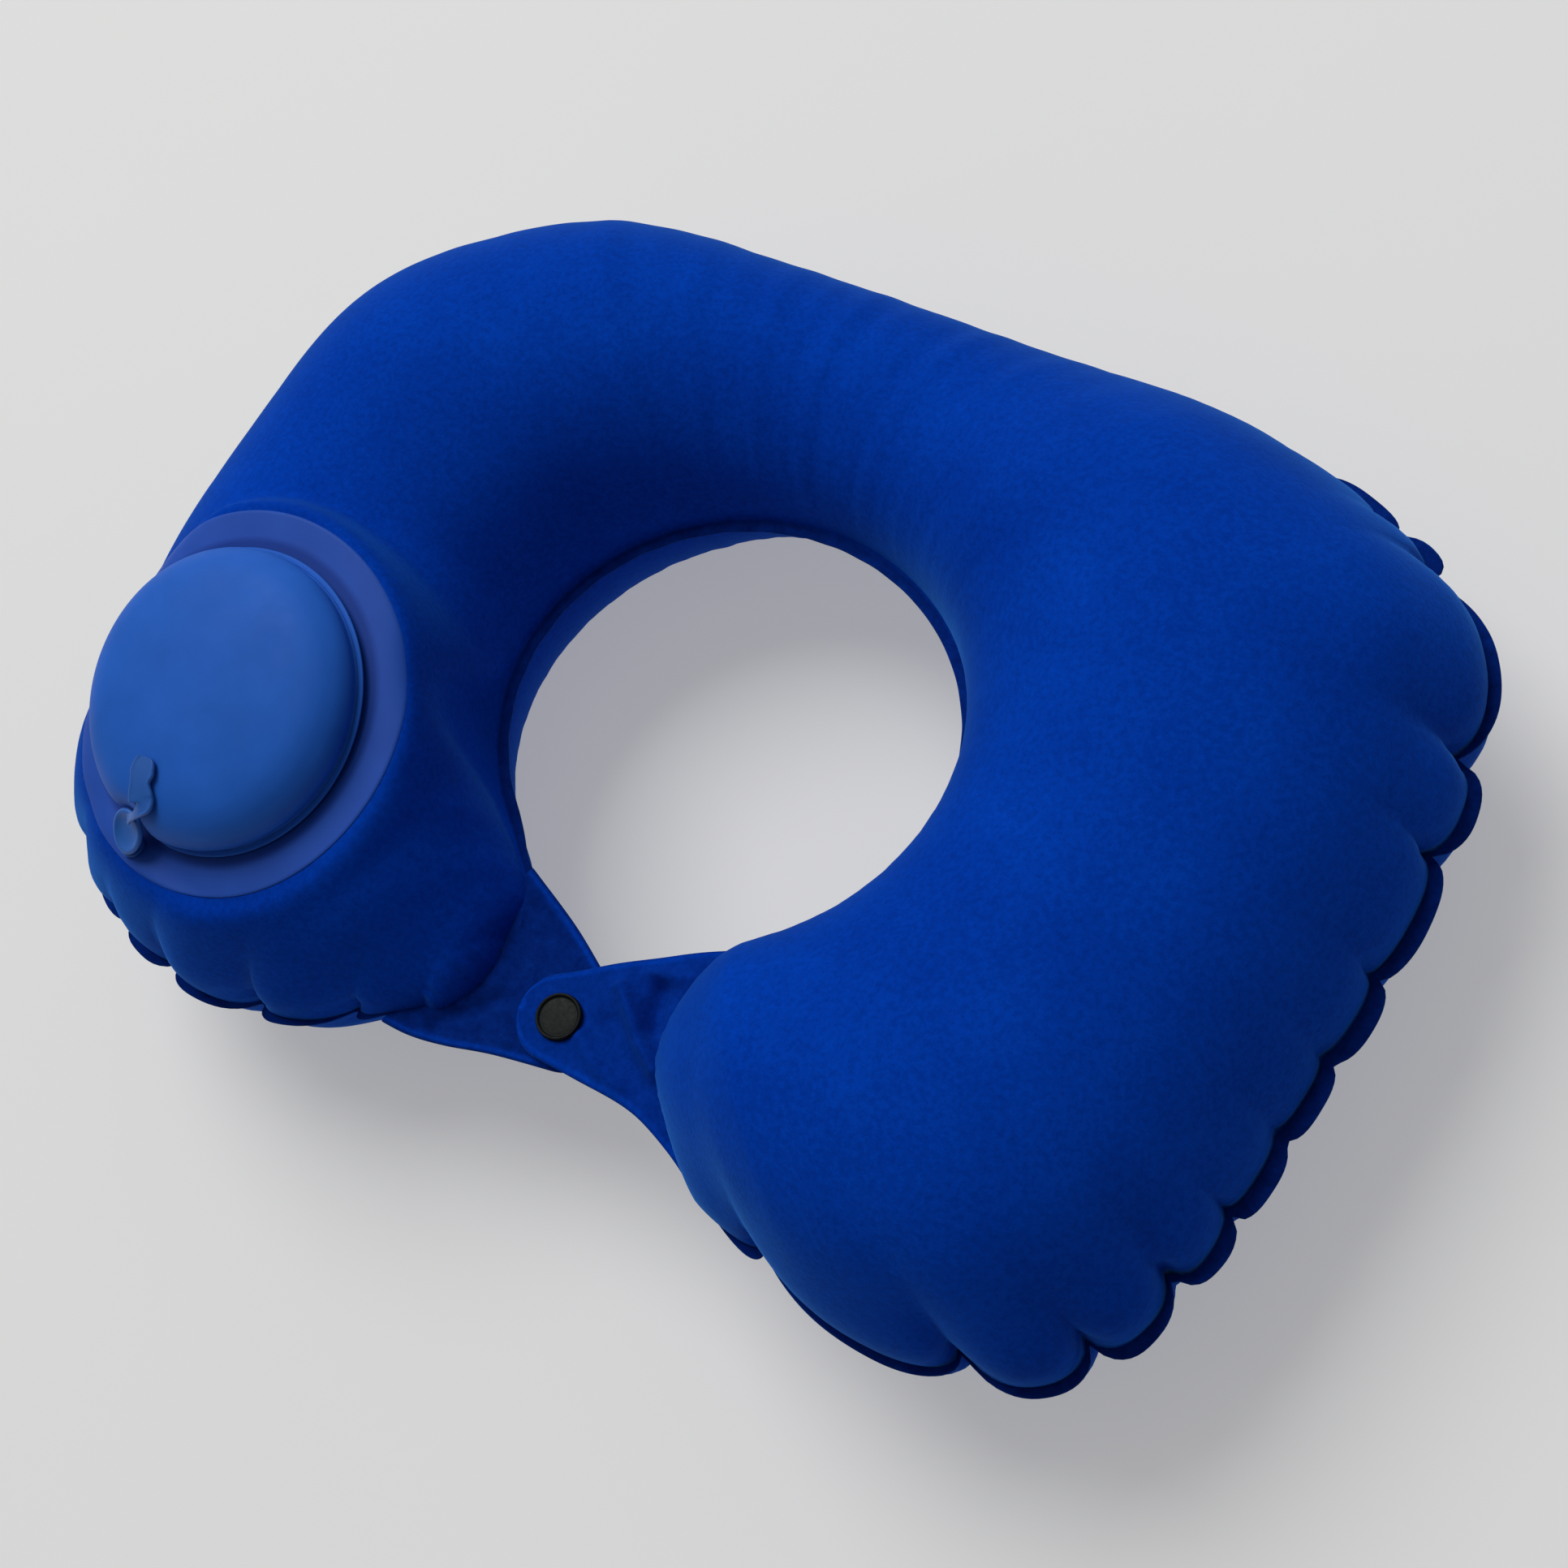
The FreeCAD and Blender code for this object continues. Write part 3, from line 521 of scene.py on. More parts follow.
def dome():
    """The pump's dome: one moulding, round but for a dent beside the plug."""
    knots = np.arange(len(DOME_RADII))
    steps = np.linspace(0, knots[-1], 70)
    radius = smooth_curve(knots, DOME_RADII, steps)[:, None]
    height = smooth_curve(knots, DOME_HEIGHTS, steps)[:, None]
    turn = np.linspace(0, 2 * math.pi, 181)[None, :-1]
    beside = np.degrees(np.angle(np.exp(1j * (turn - math.radians(PLUG_DIRECTION))))) * math.pi / 180 * radius
    dent = PLUG_DENT * np.exp(-(beside / PLUG_DENT_WIDTH) ** 2) * eased((15.0 - height) / 9.0)
    dent = dent * eased((radius - 20.0) / 12.0)
    wobble = 0.15 * np.sin(3 * turn + 0.7) * eased((radius - 10.0) / 25.0)
    radius = radius - dent + wobble
    rows = np.stack(np.broadcast_arrays(radius * np.cos(turn), radius * np.sin(turn), height), -1)
    piece = grid_mesh("pump_dome", in_pump(rows), closed=True)
    tidy_mesh(piece, top=PUMP_UP)
    return piece


def film_ring(sheet):
    """The film ring that welds the pump to the sheet, laid over it."""
    tree = BVHTree.FromObject(sheet, bpy.context.evaluated_depsgraph_get())
    turns = np.linspace(0, 2 * math.pi, 181)[:-1]
    reach = np.linspace(36.0, 60.0, 61)
    start = 40.0
    widths = np.concatenate([[start - 2.5], np.linspace(start, FILM_RADIUS - 0.5, 22),
                             [FILM_RADIUS - 0.2, FILM_RADIUS]])
    top = np.zeros((len(turns), len(widths), 3))
    for i, turn in enumerate(turns):
        line = []
        for radius in reach:
            over = in_pump([radius * math.cos(turn), radius * math.sin(turn), 25.0])
            hit = tree.ray_cast(Vector(over * MM), -PUMP_UP, 0.08)[0]
            height = ((hit - PUMP_AT).dot(PUMP_UP)) / MM if hit else line[-1]
            line.append(height)
        line = np.array(line)
        line = np.convolve(np.pad(line, 3, mode="edge"), np.ones(7) / 7, mode="valid")
        step = np.hypot(np.diff(reach), np.diff(line))
        run = np.concatenate([[0], np.cumsum(step)])
        length = start + run - np.interp(start, reach, run)
        radius = np.interp(widths, length, reach)
        height = np.interp(radius, reach, line)
        lift = 0.45 * np.sqrt(np.clip((FILM_RADIUS + 0.02 - widths) / 0.5, 0.0, 1.0)) - 0.05
        top[i, :, 0] = radius * math.cos(turn)
        top[i, :, 1] = radius * math.sin(turn)
        top[i, :, 2] = height + lift
    across = (widths - start) / (FILM_RADIUS - start)
    rows = np.concatenate([top, top[:1]], 0)
    piece = grid_mesh("pump_ring", in_pump(rows), across=across[None, :])
    tidy_mesh(piece, top=PUMP_UP)
    return piece


# ----------------------------------------------------------------- materials

def node(tree, kind, **values):
    made = tree.nodes.new(kind)
    for key, value in values.items():
        if key in made.inputs:
            made.inputs[key].default_value = value
        else:
            setattr(made, key, value)
    return made


def material(name):
    made = bpy.data.materials.new(name)
    made.use_nodes = True
    tree = made.node_tree
    return made, tree, tree.nodes["Principled BSDF"]


def noise(tree, scale, detail=3.0, rough=0.55):
    """A noise over the points' positions in world space."""
    geometry = node(tree, "ShaderNodeNewGeometry")
    made = node(tree, "ShaderNodeTexNoise", Scale=scale, Detail=detail, Roughness=rough)
    tree.links.new(geometry.outputs["Position"], made.inputs["Vector"])
    return made.outputs["Fac"]


def ramp(tree, value, low, high, start=0.3, end=0.7):
    """Two colours over a value."""
    made = node(tree, "ShaderNodeValToRGB")
    made.color_ramp.elements[0].position = start
    made.color_ramp.elements[0].color = (*low, 1)
    made.color_ramp.elements[1].position = end
    made.color_ramp.elements[1].color = (*high, 1)
    tree.links.new(value, made.inputs["Fac"])
    return made.outputs["Color"]


def mix(tree, factor, one, two, blend="MIX"):
    """One colour over another; factor is a number or a socket."""
    made = node(tree, "ShaderNodeMix", data_type="RGBA", blend_type=blend)
    if isinstance(factor, float):
        made.inputs["Factor"].default_value = factor
    else:
        tree.links.new(factor, made.inputs["Factor"])
    tree.links.new(one, made.inputs["A"])
    tree.links.new(two, made.inputs["B"])
    return made.outputs["Result"]


def mark(tree, name):
    """A number that the mesh carries at each of its points."""
    return node(tree, "ShaderNodeAttribute", attribute_name=name).outputs["Fac"]


def bump(tree, shader, height, strength, distance):
    made = node(tree, "ShaderNodeBump", Strength=strength, Distance=distance)
    tree.links.new(height, made.inputs["Height"])
    tree.links.new(made.outputs["Normal"], shader.inputs["Normal"])


def finish_of(shader, **values):
    for name, value in values.items():
        shader.inputs[name.replace("_", " ").title().replace("Ior", "IOR")].default_value = value


FLOCK_DARK = (0.0003, 0.034, 0.34)
FLOCK_LIGHT = (0.0005, 0.046, 0.42)
WELD_DARK = (0.0008, 0.014, 0.14)
WELD_LIGHT = (0.0015, 0.022, 0.20)


def flock():
    """Short velvety flock on film: soft sheen, fine grain, faint cloudy nap.
    Where the sheets are welded it is crushed flat and darker; on the lower left tab that darker colour is
    also painted shade."""
    made, tree, shader = material("flock")
    cloud = noise(tree, 24.0)
    grain = noise(tree, 620.0, 4.0, 0.7)
    base = ramp(tree, cloud, FLOCK_DARK, FLOCK_LIGHT, 0.3, 0.72)
    crushed = ramp(tree, noise(tree, 260.0), WELD_DARK, WELD_LIGHT)
    base = mix(tree, mark(tree, "welded"), base, crushed)
    speck = ramp(tree, grain, (0.62, 0.62, 0.66), (1.25, 1.25, 1.2), 0.35, 0.65)
    tree.links.new(mix(tree, 0.5, base, speck, "MULTIPLY"), shader.inputs["Base Color"])
    bump(tree, shader, grain, 0.35, 0.0004)
    finish_of(shader, roughness=0.9, specular_ior_level=0.04, sheen_weight=0.45, sheen_roughness=0.35)
    shader.inputs["Specular Tint"].default_value = (0.25, 0.6, 1.0, 1)
    shader.inputs["Sheen Tint"].default_value = (0.05, 0.32, 0.85, 1)
    return made


def film():
    """Clear-tinted film over the sheet: a smooth darker zone beside the dome,
    then a paler purplish band that is heat-sealed with a faint grain."""
    made, tree, shader = material("ring_film")
    across = mark(tree, "across")
    band = ramp(tree, across, (0.003, 0.038, 0.27), (0.015, 0.074, 0.41), 0.24, 0.40)
    cloud = ramp(tree, noise(tree, 60.0), (0.82, 0.84, 0.88), (1.12, 1.1, 1.06))
    tree.links.new(mix(tree, 0.6, band, cloud, "MULTIPLY"), shader.inputs["Base Color"])
    bump(tree, shader, noise(tree, 900.0), 0.12, 0.0002)
    finish_of(shader, roughness=0.6, specular_ior_level=0.16)
    return made


def rubber(name, dark, light, rough, shine):
    """Matte moulded vinyl: a little mottled, with a very fine grain."""
    made, tree, shader = material(name)
    cloud = noise(tree, 55.0, 4.0)
    base = ramp(tree, cloud, dark, light)
    tree.links.new(base, shader.inputs["Base Color"])
    tree.links.new(ramp(tree, noise(tree, 130.0), (rough - 0.04,) * 3, (rough + 0.05,) * 3),
                   shader.inputs["Roughness"])
    bump(tree, shader, noise(tree, 1100.0), 0.08, 0.0002)
    finish_of(shader, specular_ior_level=shine)
    return made


def hard_plastic():
    """Nearly black moulded plastic, finely pitted, a little paler where it is rubbed."""
    made, tree, shader = material("snap_plastic")
    base = ramp(tree, noise(tree, 420.0), (0.0035, 0.0055, 0.0055), (0.007, 0.009, 0.009))
    tree.links.new(base, shader.inputs["Base Color"])
    tree.links.new(ramp(tree, noise(tree, 900.0), (0.5,) * 3, (0.62,) * 3), shader.inputs["Roughness"])
    bump(tree, shader, noise(tree, 1500.0), 0.2, 0.0002)
    finish_of(shader, specular_ior_level=0.14)
    return made


def sponge():
    """Open-cell foam: pale, with fine dark pores."""
    made, tree, shader = material("foam")
    pores = node(tree, "ShaderNodeTexVoronoi", Scale=900.0)
    geometry = node(tree, "ShaderNodeNewGeometry")
    tree.links.new(geometry.outputs["Position"], pores.inputs["Vector"])
    base = ramp(tree, pores.outputs["Distance"], (0.35, 0.35, 0.33), (0.78, 0.78, 0.74), 0.1, 0.6)
    tree.links.new(base, shader.inputs["Base Color"])
    bump(tree, shader, pores.outputs["Distance"], 0.6, 0.0004)
    finish_of(shader, roughness=0.95)
    return made


FLOCK = flock()
FILM = film()
DOME = rubber("dome_rubber", (0.012, 0.100, 0.47), (0.016, 0.120, 0.56), 0.58, 0.13)
VALVE = rubber("valve_plastic", (0.014, 0.095, 0.40), (0.020, 0.125, 0.47), 0.42, 0.35)
FLAP = rubber("valve_film", (0.10, 0.2, 0.5), (0.14, 0.26, 0.6), 0.35, 0.4)
SNAP = hard_plastic()
FOAM = sponge()

# ------------------------------------------------------------------ the pieces

def place(piece, body, cad, finish):
    """Give a piece its material, its body, and the CAD nodes it stands for."""
    piece.data.materials.append(finish)
    if body:
        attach(piece, body)
    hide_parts(*cad)
    return piece


def over_pump_hole(point):
    """The round hole in the upper sheet that the pump's base sits in."""
    return point.z > WELD_Z and pump_radius(point) < PUMP_HOLE


upper = panel("upper_sheet", True)
lower = panel("lower_sheet", False)
ring = film_ring(upper)
for piece, cad, drop, top in ((upper, "upper_panel", over_pump_hole, Vector((0, 0, 1))),
                              (lower, "lower_panel", None, Vector((0, 0, -1)))):
    tidy_mesh(piece, drop, top)
    thicken(piece, SHEET_WALL)
    place(piece, "root", [cad], FLOCK)

thicken(ring, FILM_WALL)
place(ring, "root", ["pump_flange"], FILM)

pump_dome = dome()
thicken(pump_dome, DOME_WALL)
place(pump_dome, None, ["pump_dome_skirt", "pump_dome_crown"], DOME)
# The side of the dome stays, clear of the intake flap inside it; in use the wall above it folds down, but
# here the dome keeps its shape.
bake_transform(pump_dome)


def foam_disc():
    """The foam under the crown: the dome squashes it in use, but here it keeps its shape."""
    low, high = FOAM_LOW, FOAM_LOW + FOAM_HEIGHT
    wide = FOAM_RADIUS
    profile = ((0, low), (wide - 2, low), (wide - 0.2, low + 0.3), (wide, low + 1),
               (wide, high - 1), (wide - 0.2, high - 0.3), (wide - 2, high), (0, high))
    turn = np.linspace(0, 2 * math.pi, 97)[:-1]
    rows = np.array([[(r * math.cos(t), r * math.sin(t), z) for t in turn] for r, z in profile])
    piece = grid_mesh("pump_sponge", in_pump(rows), closed=True)
    tidy_mesh(piece)
    return piece


foam_piece = place(foam_disc(), "root", ["pump_foam"], FOAM)
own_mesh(foam_piece)

# ------------------------------------------------------------- plug and its pull
# All in the pump's frame, in mm.

PLUG_CENTRE = np.array([-9.4, -41.2, 5.0])
PLUG_LEAN = math.radians(28.0)
PLUG_HALF_LENGTH = 6.6
PLUG_HALF_WIDTH = 5.4
STEM_RADIUS = 1.9
STEM_DEPTH = 3.8


def oval_head():
    """The plug's oval head: a round rim and a dished middle, leaning on the dome."""
    outward = math.radians(PLUG_DIRECTION)
    long = np.array([math.cos(outward) * math.cos(PLUG_LEAN), math.sin(outward) * math.cos(PLUG_LEAN),
                     -math.sin(PLUG_LEAN)])
    wide = np.array([-math.sin(outward), math.cos(outward), 0.0])
    above = np.cross(long, wide)
    share = (0.02, 0.3, 0.55, 0.70, 0.80, 0.88, 0.95, 1.0, 1.0, 0.94, 0.80, 0.5, 0.02)
    level = (0.55, 0.62, 0.85, 1.15, 1.42, 1.50, 1.38, 1.0, 0.45, 0.05, -0.1, -0.1, -0.1)
    steps = np.linspace(0, len(share) - 1, 49)
    radius = smooth_curve(np.arange(len(share)), share, steps)[:, None, None]
    height = smooth_curve(np.arange(len(share)), level, steps)[:, None, None]
    turn = np.linspace(0, 2 * math.pi, 65)[None, :-1, None]
    narrow = 1.0 - 0.10 * np.cos(turn)
    rows = (PLUG_CENTRE + radius * (np.cos(turn) * PLUG_HALF_LENGTH * long
                                    + np.sin(turn) * PLUG_HALF_WIDTH * narrow * -wide) + height * above)
    piece = grid_mesh("plug_head", in_pump(rows), closed=True)
    stem = grid_mesh("stem", in_pump(stem_rows()), closed=True)
    work = bmesh.new()
    for part in (piece, stem):
        work.from_mesh(part.data)
    work.to_mesh(piece.data)
    work.free()
    bpy.data.objects.remove(stem)
    tidy_mesh(piece)
    return piece


def stem_rows():
    """The plug's stem, down the spout's bore."""
    spout = PLUG_AT - PUMP_AT
    x, y = spout.dot(PUMP_SIDE) / MM, spout.dot(PUMP_ACROSS) / MM
    turn = np.linspace(0, 2 * math.pi, 33)[:-1]
    profile = ((0, 2.6), (STEM_RADIUS, 2.6), (STEM_RADIUS, 0.5 - STEM_DEPTH),
               (STEM_RADIUS - 0.3, 0.2 - STEM_DEPTH), (0, 0.2 - STEM_DEPTH))
    return np.array([[(x + r * math.cos(t), y + r * math.sin(t), z) for t in turn] for r, z in profile])


# The pull's middle line and its half width: a bean lying on the dome, a
# waist, and a narrow neck down the dome's side to the plug's head.
PULL_LINE = np.array([
    (-4.2, -20.5, 17.2), (-3.8, -23.8, 17.0), (-3.2, -27.0, 16.5), (-2.2, -30.2, 15.7),
    (-1.4, -32.2, 15.0), (-2.0, -34.0, 14.2), (-3.8, -35.8, 12.8), (-5.8, -36.9, 11.2),
    (-7.2, -37.5, 9.9), (-8.2, -38.0, 8.9),
])
PULL_HALF_WIDTHS = (0.15, 3.8, 3.5, 4.0, 3.7, 1.9, 1.2, 1.2, 1.4, 1.6)
PULL_HALF_THICKNESS = 0.45


def pull():
    """The thin bean-shaped pull and its neck, with a raised bead round its edge."""
    knots = np.arange(len(PULL_LINE))
    steps = np.concatenate([np.linspace(0, 1, 26) ** 2, np.linspace(1, knots[-1], 110)[1:]])
    line = np.stack([smooth_curve(knots, PULL_LINE[:, i], steps) for i in range(3)], -1)
    half = smooth_curve(knots, PULL_HALF_WIDTHS, steps)
    start = steps < 1
    half[start] = 0.05 + 3.75 * np.sqrt(np.clip(1 - (1 - steps[start]) ** 2, 0, 1))
    along = np.gradient(line, axis=0)
    along = along / np.linalg.norm(along, axis=1)[:, None]
    side = np.cross(along, [0.0, 0.0, 1.0])
    side = side / np.linalg.norm(side, axis=1)[:, None]
    above = np.cross(side, along)
    across = np.concatenate([np.linspace(-1, 1, 21), np.linspace(1, -1, 21)[1:-1]])
    is_top = np.arange(len(across)) < 21
    edge = np.sqrt(np.clip(1 - np.abs(across) ** 8, 0, 1))
    bead = 0.28 * np.exp(-((np.abs(across) - 0.82) / 0.11) ** 2) * eased((half[:, None] - 1.2) / 1.2)
    lift = np.where(is_top, 1, -1)[None, :] * PULL_HALF_THICKNESS * edge[None, :] + np.where(is_top, bead, 0)
    waist = -0.45 * np.exp(-((steps - 2.1) / 0.55) ** 2)
    shift = np.where(across > 0, 0.0, 1.0)[None, :] * waist[:, None]
    reach = half[:, None, None] + shift[..., None]
    rows = (line[:, None, :] + side[:, None, :] * (across[None, :, None] * reach)
            + above[:, None, :] * lift[..., None])
    piece = grid_mesh("plug_pull", in_pump(rows), closed=True)
    work = bmesh.new()
    work.from_mesh(piece.data)
    work.verts.ensure_lookup_table()
    count = len(across)
    bmesh.ops.contextual_create(work, geom=work.verts[:count])
    work.verts.ensure_lookup_table()
    bmesh.ops.contextual_create(work, geom=work.verts[-count:])
    work.to_mesh(piece.data)
    work.free()
    tidy_mesh(piece)
    return piece


place(oval_head(), "plug", ["release_plug"], VALVE)
place(pull(), "plug", ["release_strap"], VALVE)

# ------------------------------------------------------------------- the tabs
# Each edge, on the hole's side and in front, starts at its root, the first of its
# points, passes the others and joins the round end about the snap.  The turns are
# where the hole's side joins that round, where the tip is, and where the front
# joins it.  In mm from the snap's centre, and in degrees from +X.

RIGHT_TAB = {"hole": ((41, 40), (20, 28)), "front": ((54, -22), (31, -13), (10, -12)),
             "middle": (0, 0), "radius": 12, "turns": (125, 187, 262)}
LEFT_TAB = {"hole": ((-31, 32), (-11, 23)), "front": ((-48, -22), (-40, -22), (-28, -20), (-14, -16)),
            "middle": (0, 1), "radius": 14, "turns": (70, -3, -80)}
TAB_SLOPE = math.tan(math.radians(4.5))
TAB_APART = 2.2
TAB_THICKNESS = 1.1
FOLD_STRENGTH = 2.6
# Folds pressed into the tabs: the line of each, from the frame's origin, its height and
# its width, in mm.
RIGHT_FOLDS = (
    (((12, -78), (18, -83), (25, -89), (31, -93)), 1.3, 2.4),
    (((21, -74), (22, -79), (24, -84)), -1.2, 2.6),
    (((8, -94), (17, -100), (24, -102)), 0.7, 2.2),
    (((13, -87), (20, -93), (29, -98)), -0.6, 3.0),
    (((27, -68), (21, -70), (16, -71)), 0.6, 2.2),
)
LEFT_FOLDS = (
    (((-20, -95), (-27, -101), (-34, -108)), -0.8, 2.2),
    (((-15, -80), (-9, -84), (-4, -85)), 0.4, 3.0),
    (((-24, -90), (-17, -99), (-12, -104)), 0.45, 2.6),
)


def from_line(x, y, line):
    """How far points are from a line of short straight runs, in mm."""
    best = np.full(np.broadcast(x, y).shape, 1e9)
    for (ax, ay), (bx, by) in zip(line, line[1:]):
        length = (bx - ax) ** 2 + (by - ay) ** 2
        t = np.clip(((x - ax) * (bx - ax) + (y - ay) * (by - ay)) / length, 0, 1)
        best = np.minimum(best, np.hypot(x - ax - t * (bx - ax), y - ay - t * (by - ay)))
    return best


def tab_edge(roots, shape, turn):
    """One edge of a tab, from its root to the tip, in steps that close up at the tip."""
    middle = np.array(shape["middle"], float)
    turns = np.radians(np.linspace(turn, shape["turns"][1], 24))
    arc = middle + shape["radius"] * np.stack([np.cos(turns), np.sin(turns)], -1)
    points = np.array([*roots, *arc[:1]], float)
    knots = np.concatenate([[0], np.cumsum(np.linalg.norm(np.diff(points, axis=0), axis=1))])
    at = np.linspace(0, knots[-1], 40)[:-1]
    line = np.concatenate([np.stack([smooth_curve(knots, points[:, i], at) for i in (0, 1)], -1), arc])
    along = np.concatenate([[0], np.cumsum(np.linalg.norm(np.diff(line, axis=0), axis=1))])
    steps = along[-1] * (1 - (1 - np.linspace(0, 1, 90)) ** 1.25)
    spots = np.stack([np.interp(steps, along, line[:, i]) for i in (0, 1)], -1)
    return spots + np.array([SNAP_AT.x, SNAP_AT.y]) / MM


def tab(name, shape, way, folds, crushed_and_shaded):
    """A flat welded tab between its two edges, with its folds."""
    hole_side = tab_edge(shape["hole"], shape, shape["turns"][0])
    front = tab_edge(shape["front"], shape, shape["turns"][2])
    v = np.concatenate([[0, 0.006, 0.014, 0.025], np.linspace(0.04, 0.96, 48), [0.975, 0.986, 0.994, 1]])
    spot = hole_side[:, None, :] * (1 - v[None, :, None]) + front[:, None, :] * v[None, :, None]
    x, y = spot[..., 0], spot[..., 1]
    height = WELD_HEIGHT + way * TAB_APART - x * TAB_SLOPE
    root = (1 - np.linspace(0, 1, 90)[:, None]) ** 1.25
    width = np.linalg.norm(hole_side - front, axis=1)[:, None]
    to_edge = np.minimum(v, 1 - v)[None, :] * width
    to_edge = np.minimum(to_edge, np.hypot(x - hole_side[-1, 0], y - hole_side[-1, 1]))
    for line, tall, wide in folds:
        ridge = np.exp(-(from_line(x, y, line) / wide) ** 2)
        height = height + FOLD_STRENGTH * tall * ridge * eased(to_edge / 5.0)
    flat_root = eased((root - 0.82) / 0.18)
    height = height * (1 - flat_root) + WELD_HEIGHT * flat_root
    height = height + 0.35 * np.sin(x * 0.21 + y * 0.17) * eased(root * 3) * (1 - flat_root)
    rim = 0.16 * np.exp(-((to_edge - 1.5) / 0.8) ** 2)
    half = TAB_THICKNESS / 2 * np.sqrt(np.clip(1 - (1 - np.clip(to_edge / 0.6, 0, 1)) ** 2, 0.02, 1))
    upper_side = np.stack([x, y, height + half + rim], -1)
    lower_side = np.stack([x, y, height - half], -1)
    rows = np.concatenate([upper_side, lower_side[:, ::-1]], 1)
    # How much of the darker weld colour the tab takes: crushed flock, and on the lower left tab painted shade
    # as well.
    welded = crushed_and_shaded * (1.0 - 0.9 * np.exp(-((to_edge - 1.3) / 0.7) ** 2))
    piece = grid_mesh(name, rows, closed=True, welded=np.concatenate([welded, welded[:, ::-1]], 1))
    work = bmesh.new()
    work.from_mesh(piece.data)
    bmesh.ops.holes_fill(work, edges=work.edges, sides=0)
    work.to_mesh(piece.data)
    work.free()
    tidy_mesh(piece)
    return piece


# The lower left tab takes all of the dark weld colour and the right one only part of it: the left tab's extra
# darkness is painted shade.
left_tab = tab("left_tab_sheet", LEFT_TAB, -1.0, LEFT_FOLDS, 1.0)
place(left_tab, "root", ["left_tab"], FLOCK)
right_tab = tab("right_tab_sheet", RIGHT_TAB, 1.0, RIGHT_FOLDS, 0.6)
place(right_tab, None, ["right_tab"], FLOCK)
HINGE = Vector(JOINTS["tab_lift"]["pos_m"])
TO_TIP = (SNAP_AT - HINGE).normalized()
TO_TIP.z = 0.0
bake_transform(right_tab)

# ------------------------------------------------------------------- the snap

SNAP_UP = Vector((math.sin(math.atan(TAB_SLOPE)), 0, math.cos(math.atan(TAB_SLOPE))))
CAP_SHARES = (0.01, 2.0, 4.2, 5.0, 5.25, 5.6, 5.95, 6.2, 6.25, 6.0, 3.0, 0.01)
CAP_LEVELS = (1.12, 1.1, 1.0, 0.92, 1.15, 1.5, 1.52, 1.2, 0.5, -0.1, -0.2, -0.2)


def snap_button():
    """The cap: a dished disc with a raised round rim."""
    knots = np.arange(len(CAP_SHARES))
    steps = np.linspace(0, knots[-1], 56)
    radius = smooth_curve(knots, CAP_SHARES, steps)[:, None, None]
    height = smooth_curve(knots, CAP_LEVELS, steps)[:, None, None] + 2.8
    turn = np.linspace(0, 2 * math.pi, 97)[None, :-1, None]
    above = np.array(list(SNAP_UP))
    side = np.array([above[2], 0.0, -above[0]])
    deep = np.array([0.0, 1.0, 0.0])
    middle = np.array([0.0, SNAP_AT.y / MM, WELD_HEIGHT])
    rows = middle + radius * (np.cos(turn) * side + np.sin(turn) * deep) + height * above
    piece = grid_mesh("snap_button", rows, closed=True)
    tidy_mesh(piece)
    return piece


place(snap_button(), "tab", ["snap_cap"], SNAP)

# ------------------------------------------------- the CAD pieces that are shown

FINISHES = {"flocked_sheet": FLOCK, "ring_film": FILM, "dome_rubber": DOME, "valve_plastic": VALVE,
            "valve_film": FLAP, "snap_plastic": SNAP, "foam": FOAM}
for subpart in RECORD["subparts"]:
    shown = frame["nodes"][subpart["node"]]
    shown.data.materials.clear()
    shown.data.materials.append(FINISHES[subpart["material_slot"]])

# ------------------------------------------------------- stage, light, camera

VIEW_HEIGHT = math.radians(60.15)
VIEW_TURN = math.radians(67.96)
VIEW_ROLL = math.radians(-41.39)
VIEW_DISTANCE = 669.5 * MM
VIEW_LENS = 59.55
VIEW_TARGET = Vector((22.3 * MM, (HOLE_Y - 7.14) * MM, WELD_Z))

back = Vector((math.sin(VIEW_TURN) * math.cos(VIEW_HEIGHT),
               -math.cos(VIEW_TURN) * math.cos(VIEW_HEIGHT), math.sin(VIEW_HEIGHT)))
lens = bpy.data.cameras.new("view")
camera = bpy.data.objects.new("view", lens)
bpy.context.scene.collection.objects.link(camera)
camera.location = VIEW_TARGET + back * VIEW_DISTANCE
camera.rotation_mode = "QUATERNION"
camera.rotation_quaternion = (-back).to_track_quat("-Z", "Y") @ Quaternion((0, 0, 1), VIEW_ROLL)
lens.sensor_width = 36.0
lens.lens = VIEW_LENS
lens.clip_end = 20.0
bpy.context.scene.camera = camera
bpy.context.view_layer.update()
VIEW_RIGHT = camera.rotation_quaternion @ Vector((1, 0, 0))
VIEW_UP = camera.rotation_quaternion @ Vector((0, 1, 0))


FLOOR_GLOW = 0.32


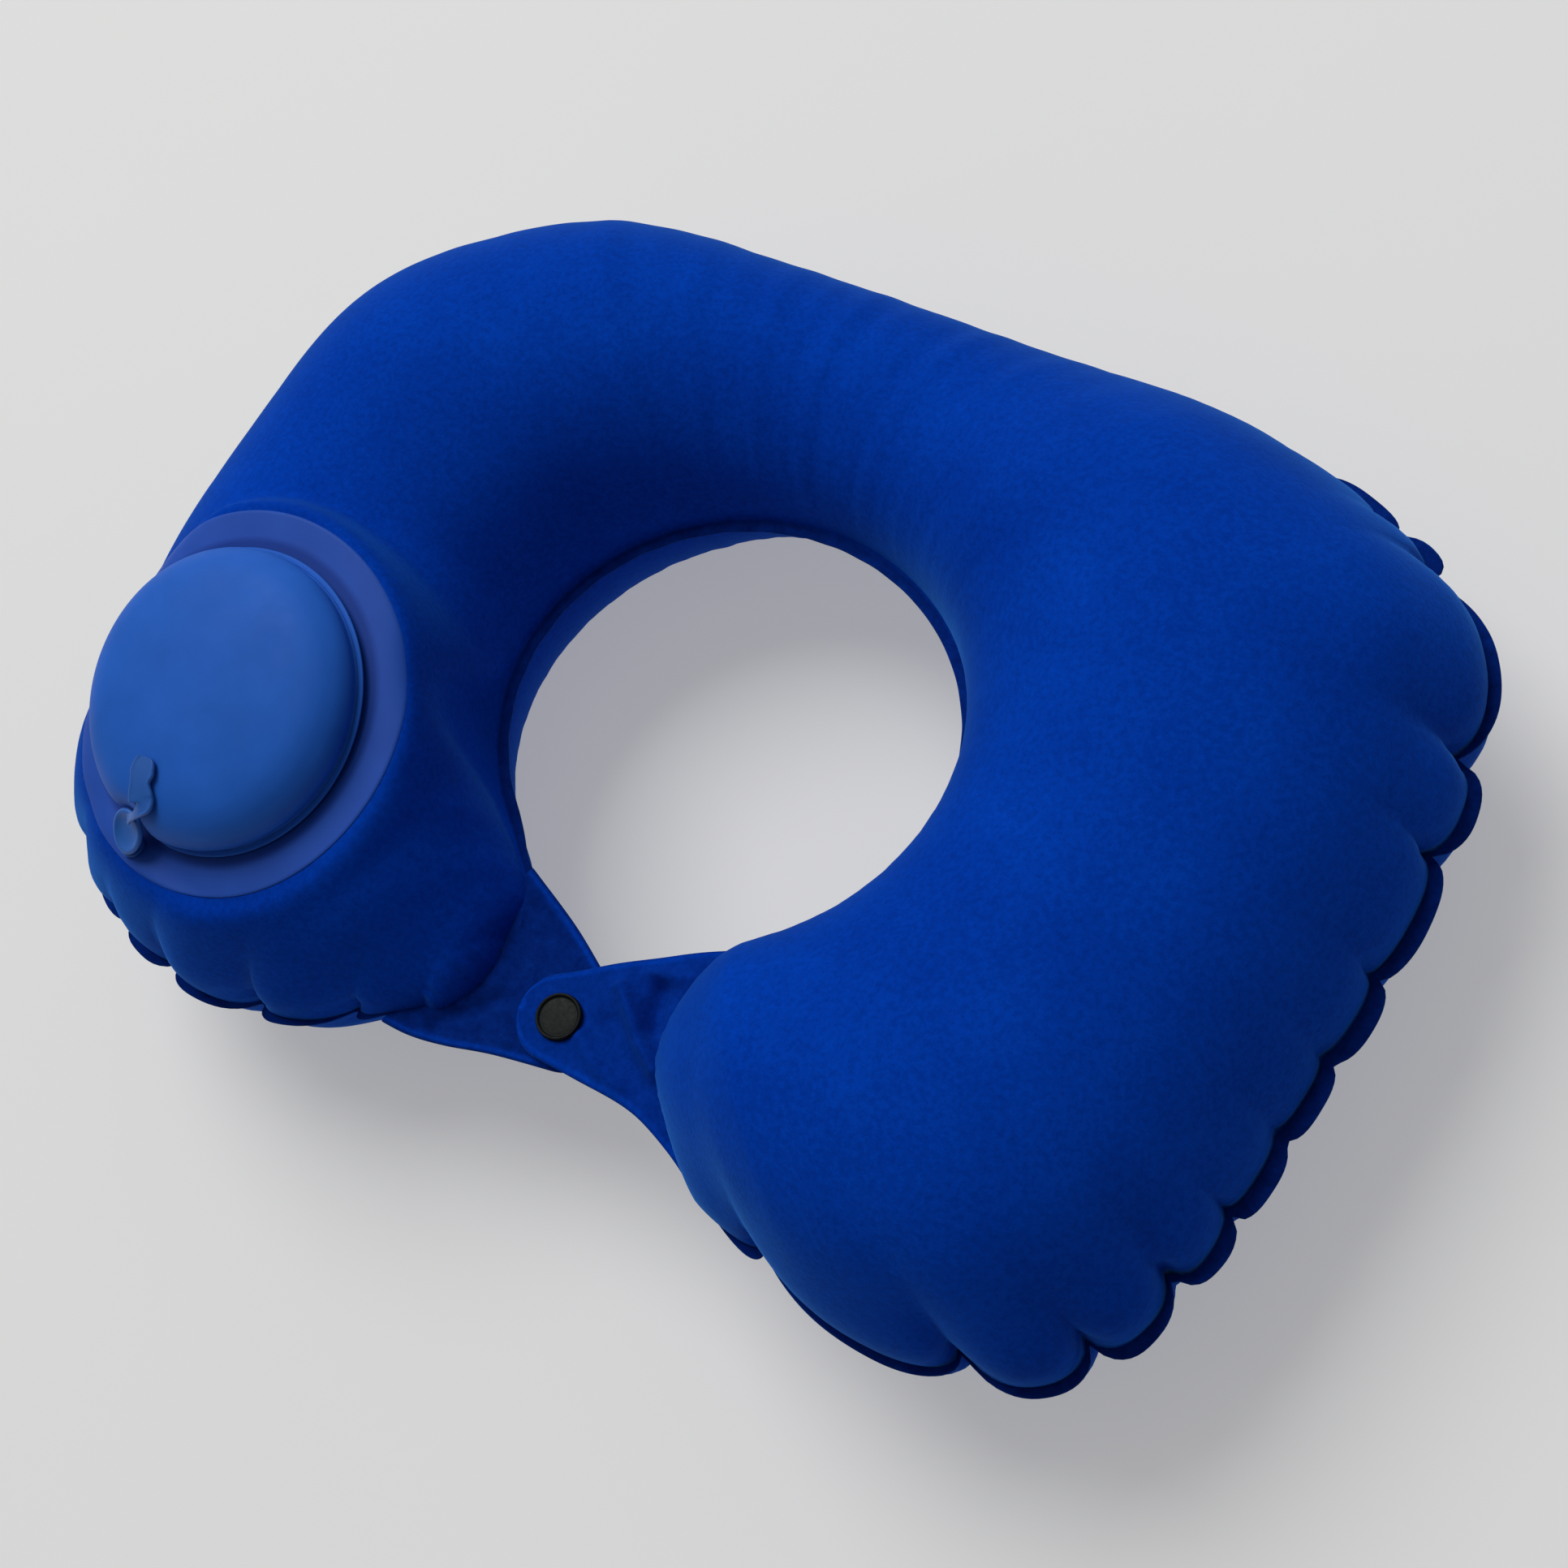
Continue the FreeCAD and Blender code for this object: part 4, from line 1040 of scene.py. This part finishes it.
def floor():
    """A pale table, lit a little from within, so that shadows on it stay soft."""
    mesh = bpy.data.meshes.new("floor")
    reach = 4.0
    mesh.from_pydata([(-reach, -reach, 0), (reach, -reach, 0), (reach, reach, 0), (-reach, reach, 0)],
                     [], [(0, 1, 2, 3)])
    piece = bpy.data.objects.new("floor", mesh)
    bpy.context.scene.collection.objects.link(piece)
    made, tree, shader = material("paper")
    tree.links.new(ramp(tree, noise(tree, 3.0), (0.445, 0.445, 0.44), (0.455, 0.455, 0.45)),
                   shader.inputs["Base Color"])
    shader.inputs["Roughness"].default_value = 0.9
    shader.inputs["Specular IOR Level"].default_value = 0.1
    shader.inputs["Emission Color"].default_value = (1.0, 1.0, 1.0, 1)
    shader.inputs["Emission Strength"].default_value = FLOOR_GLOW
    mesh.materials.append(made)


floor()


def lamp(name, toward, distance, size, energy):
    light = bpy.data.lights.new(name, "AREA")
    light.shape = "DISK"
    light.size = size
    light.energy = energy
    piece = bpy.data.objects.new(name, light)
    bpy.context.scene.collection.objects.link(piece)
    toward = Vector(toward).normalized()
    piece.location = VIEW_TARGET + toward * distance
    piece.rotation_mode = "QUATERNION"
    piece.rotation_quaternion = (-toward).to_track_quat("-Z", "Y")


KEY_ENERGY = 88.0
FILL_ENERGY = 2.0
SKY_LOW = 0.03
SKY_HIGH = 0.44
SKY_TOWARD = (VIEW_UP * 0.8 - VIEW_RIGHT * 0.45 + back * 0.45).normalized()
lamp("key", VIEW_UP * 0.8 - VIEW_RIGHT * 0.55 + back * 0.58, 3.6, 2.4, KEY_ENERGY)
lamp("fill", back, 4.0, 3.0, FILL_ENERGY)


def studio_sky():
    """A soft white surround, brighter where the big lamp stands."""
    world = bpy.data.worlds.new("studio")
    bpy.context.scene.world = world
    world.use_nodes = True
    tree = world.node_tree
    way = node(tree, "ShaderNodeTexCoord")
    dot = node(tree, "ShaderNodeVectorMath", operation="DOT_PRODUCT")
    dot.inputs[1].default_value = SKY_TOWARD
    tree.links.new(way.outputs["Generated"], dot.inputs[0])
    shade = ramp(tree, dot.outputs["Value"], (SKY_LOW,) * 3, (SKY_HIGH,) * 3, 0.0, 0.95)
    tree.links.new(shade, tree.nodes["Background"].inputs["Color"])


studio_sky()
bpy.context.scene.view_settings.view_transform = "Standard"
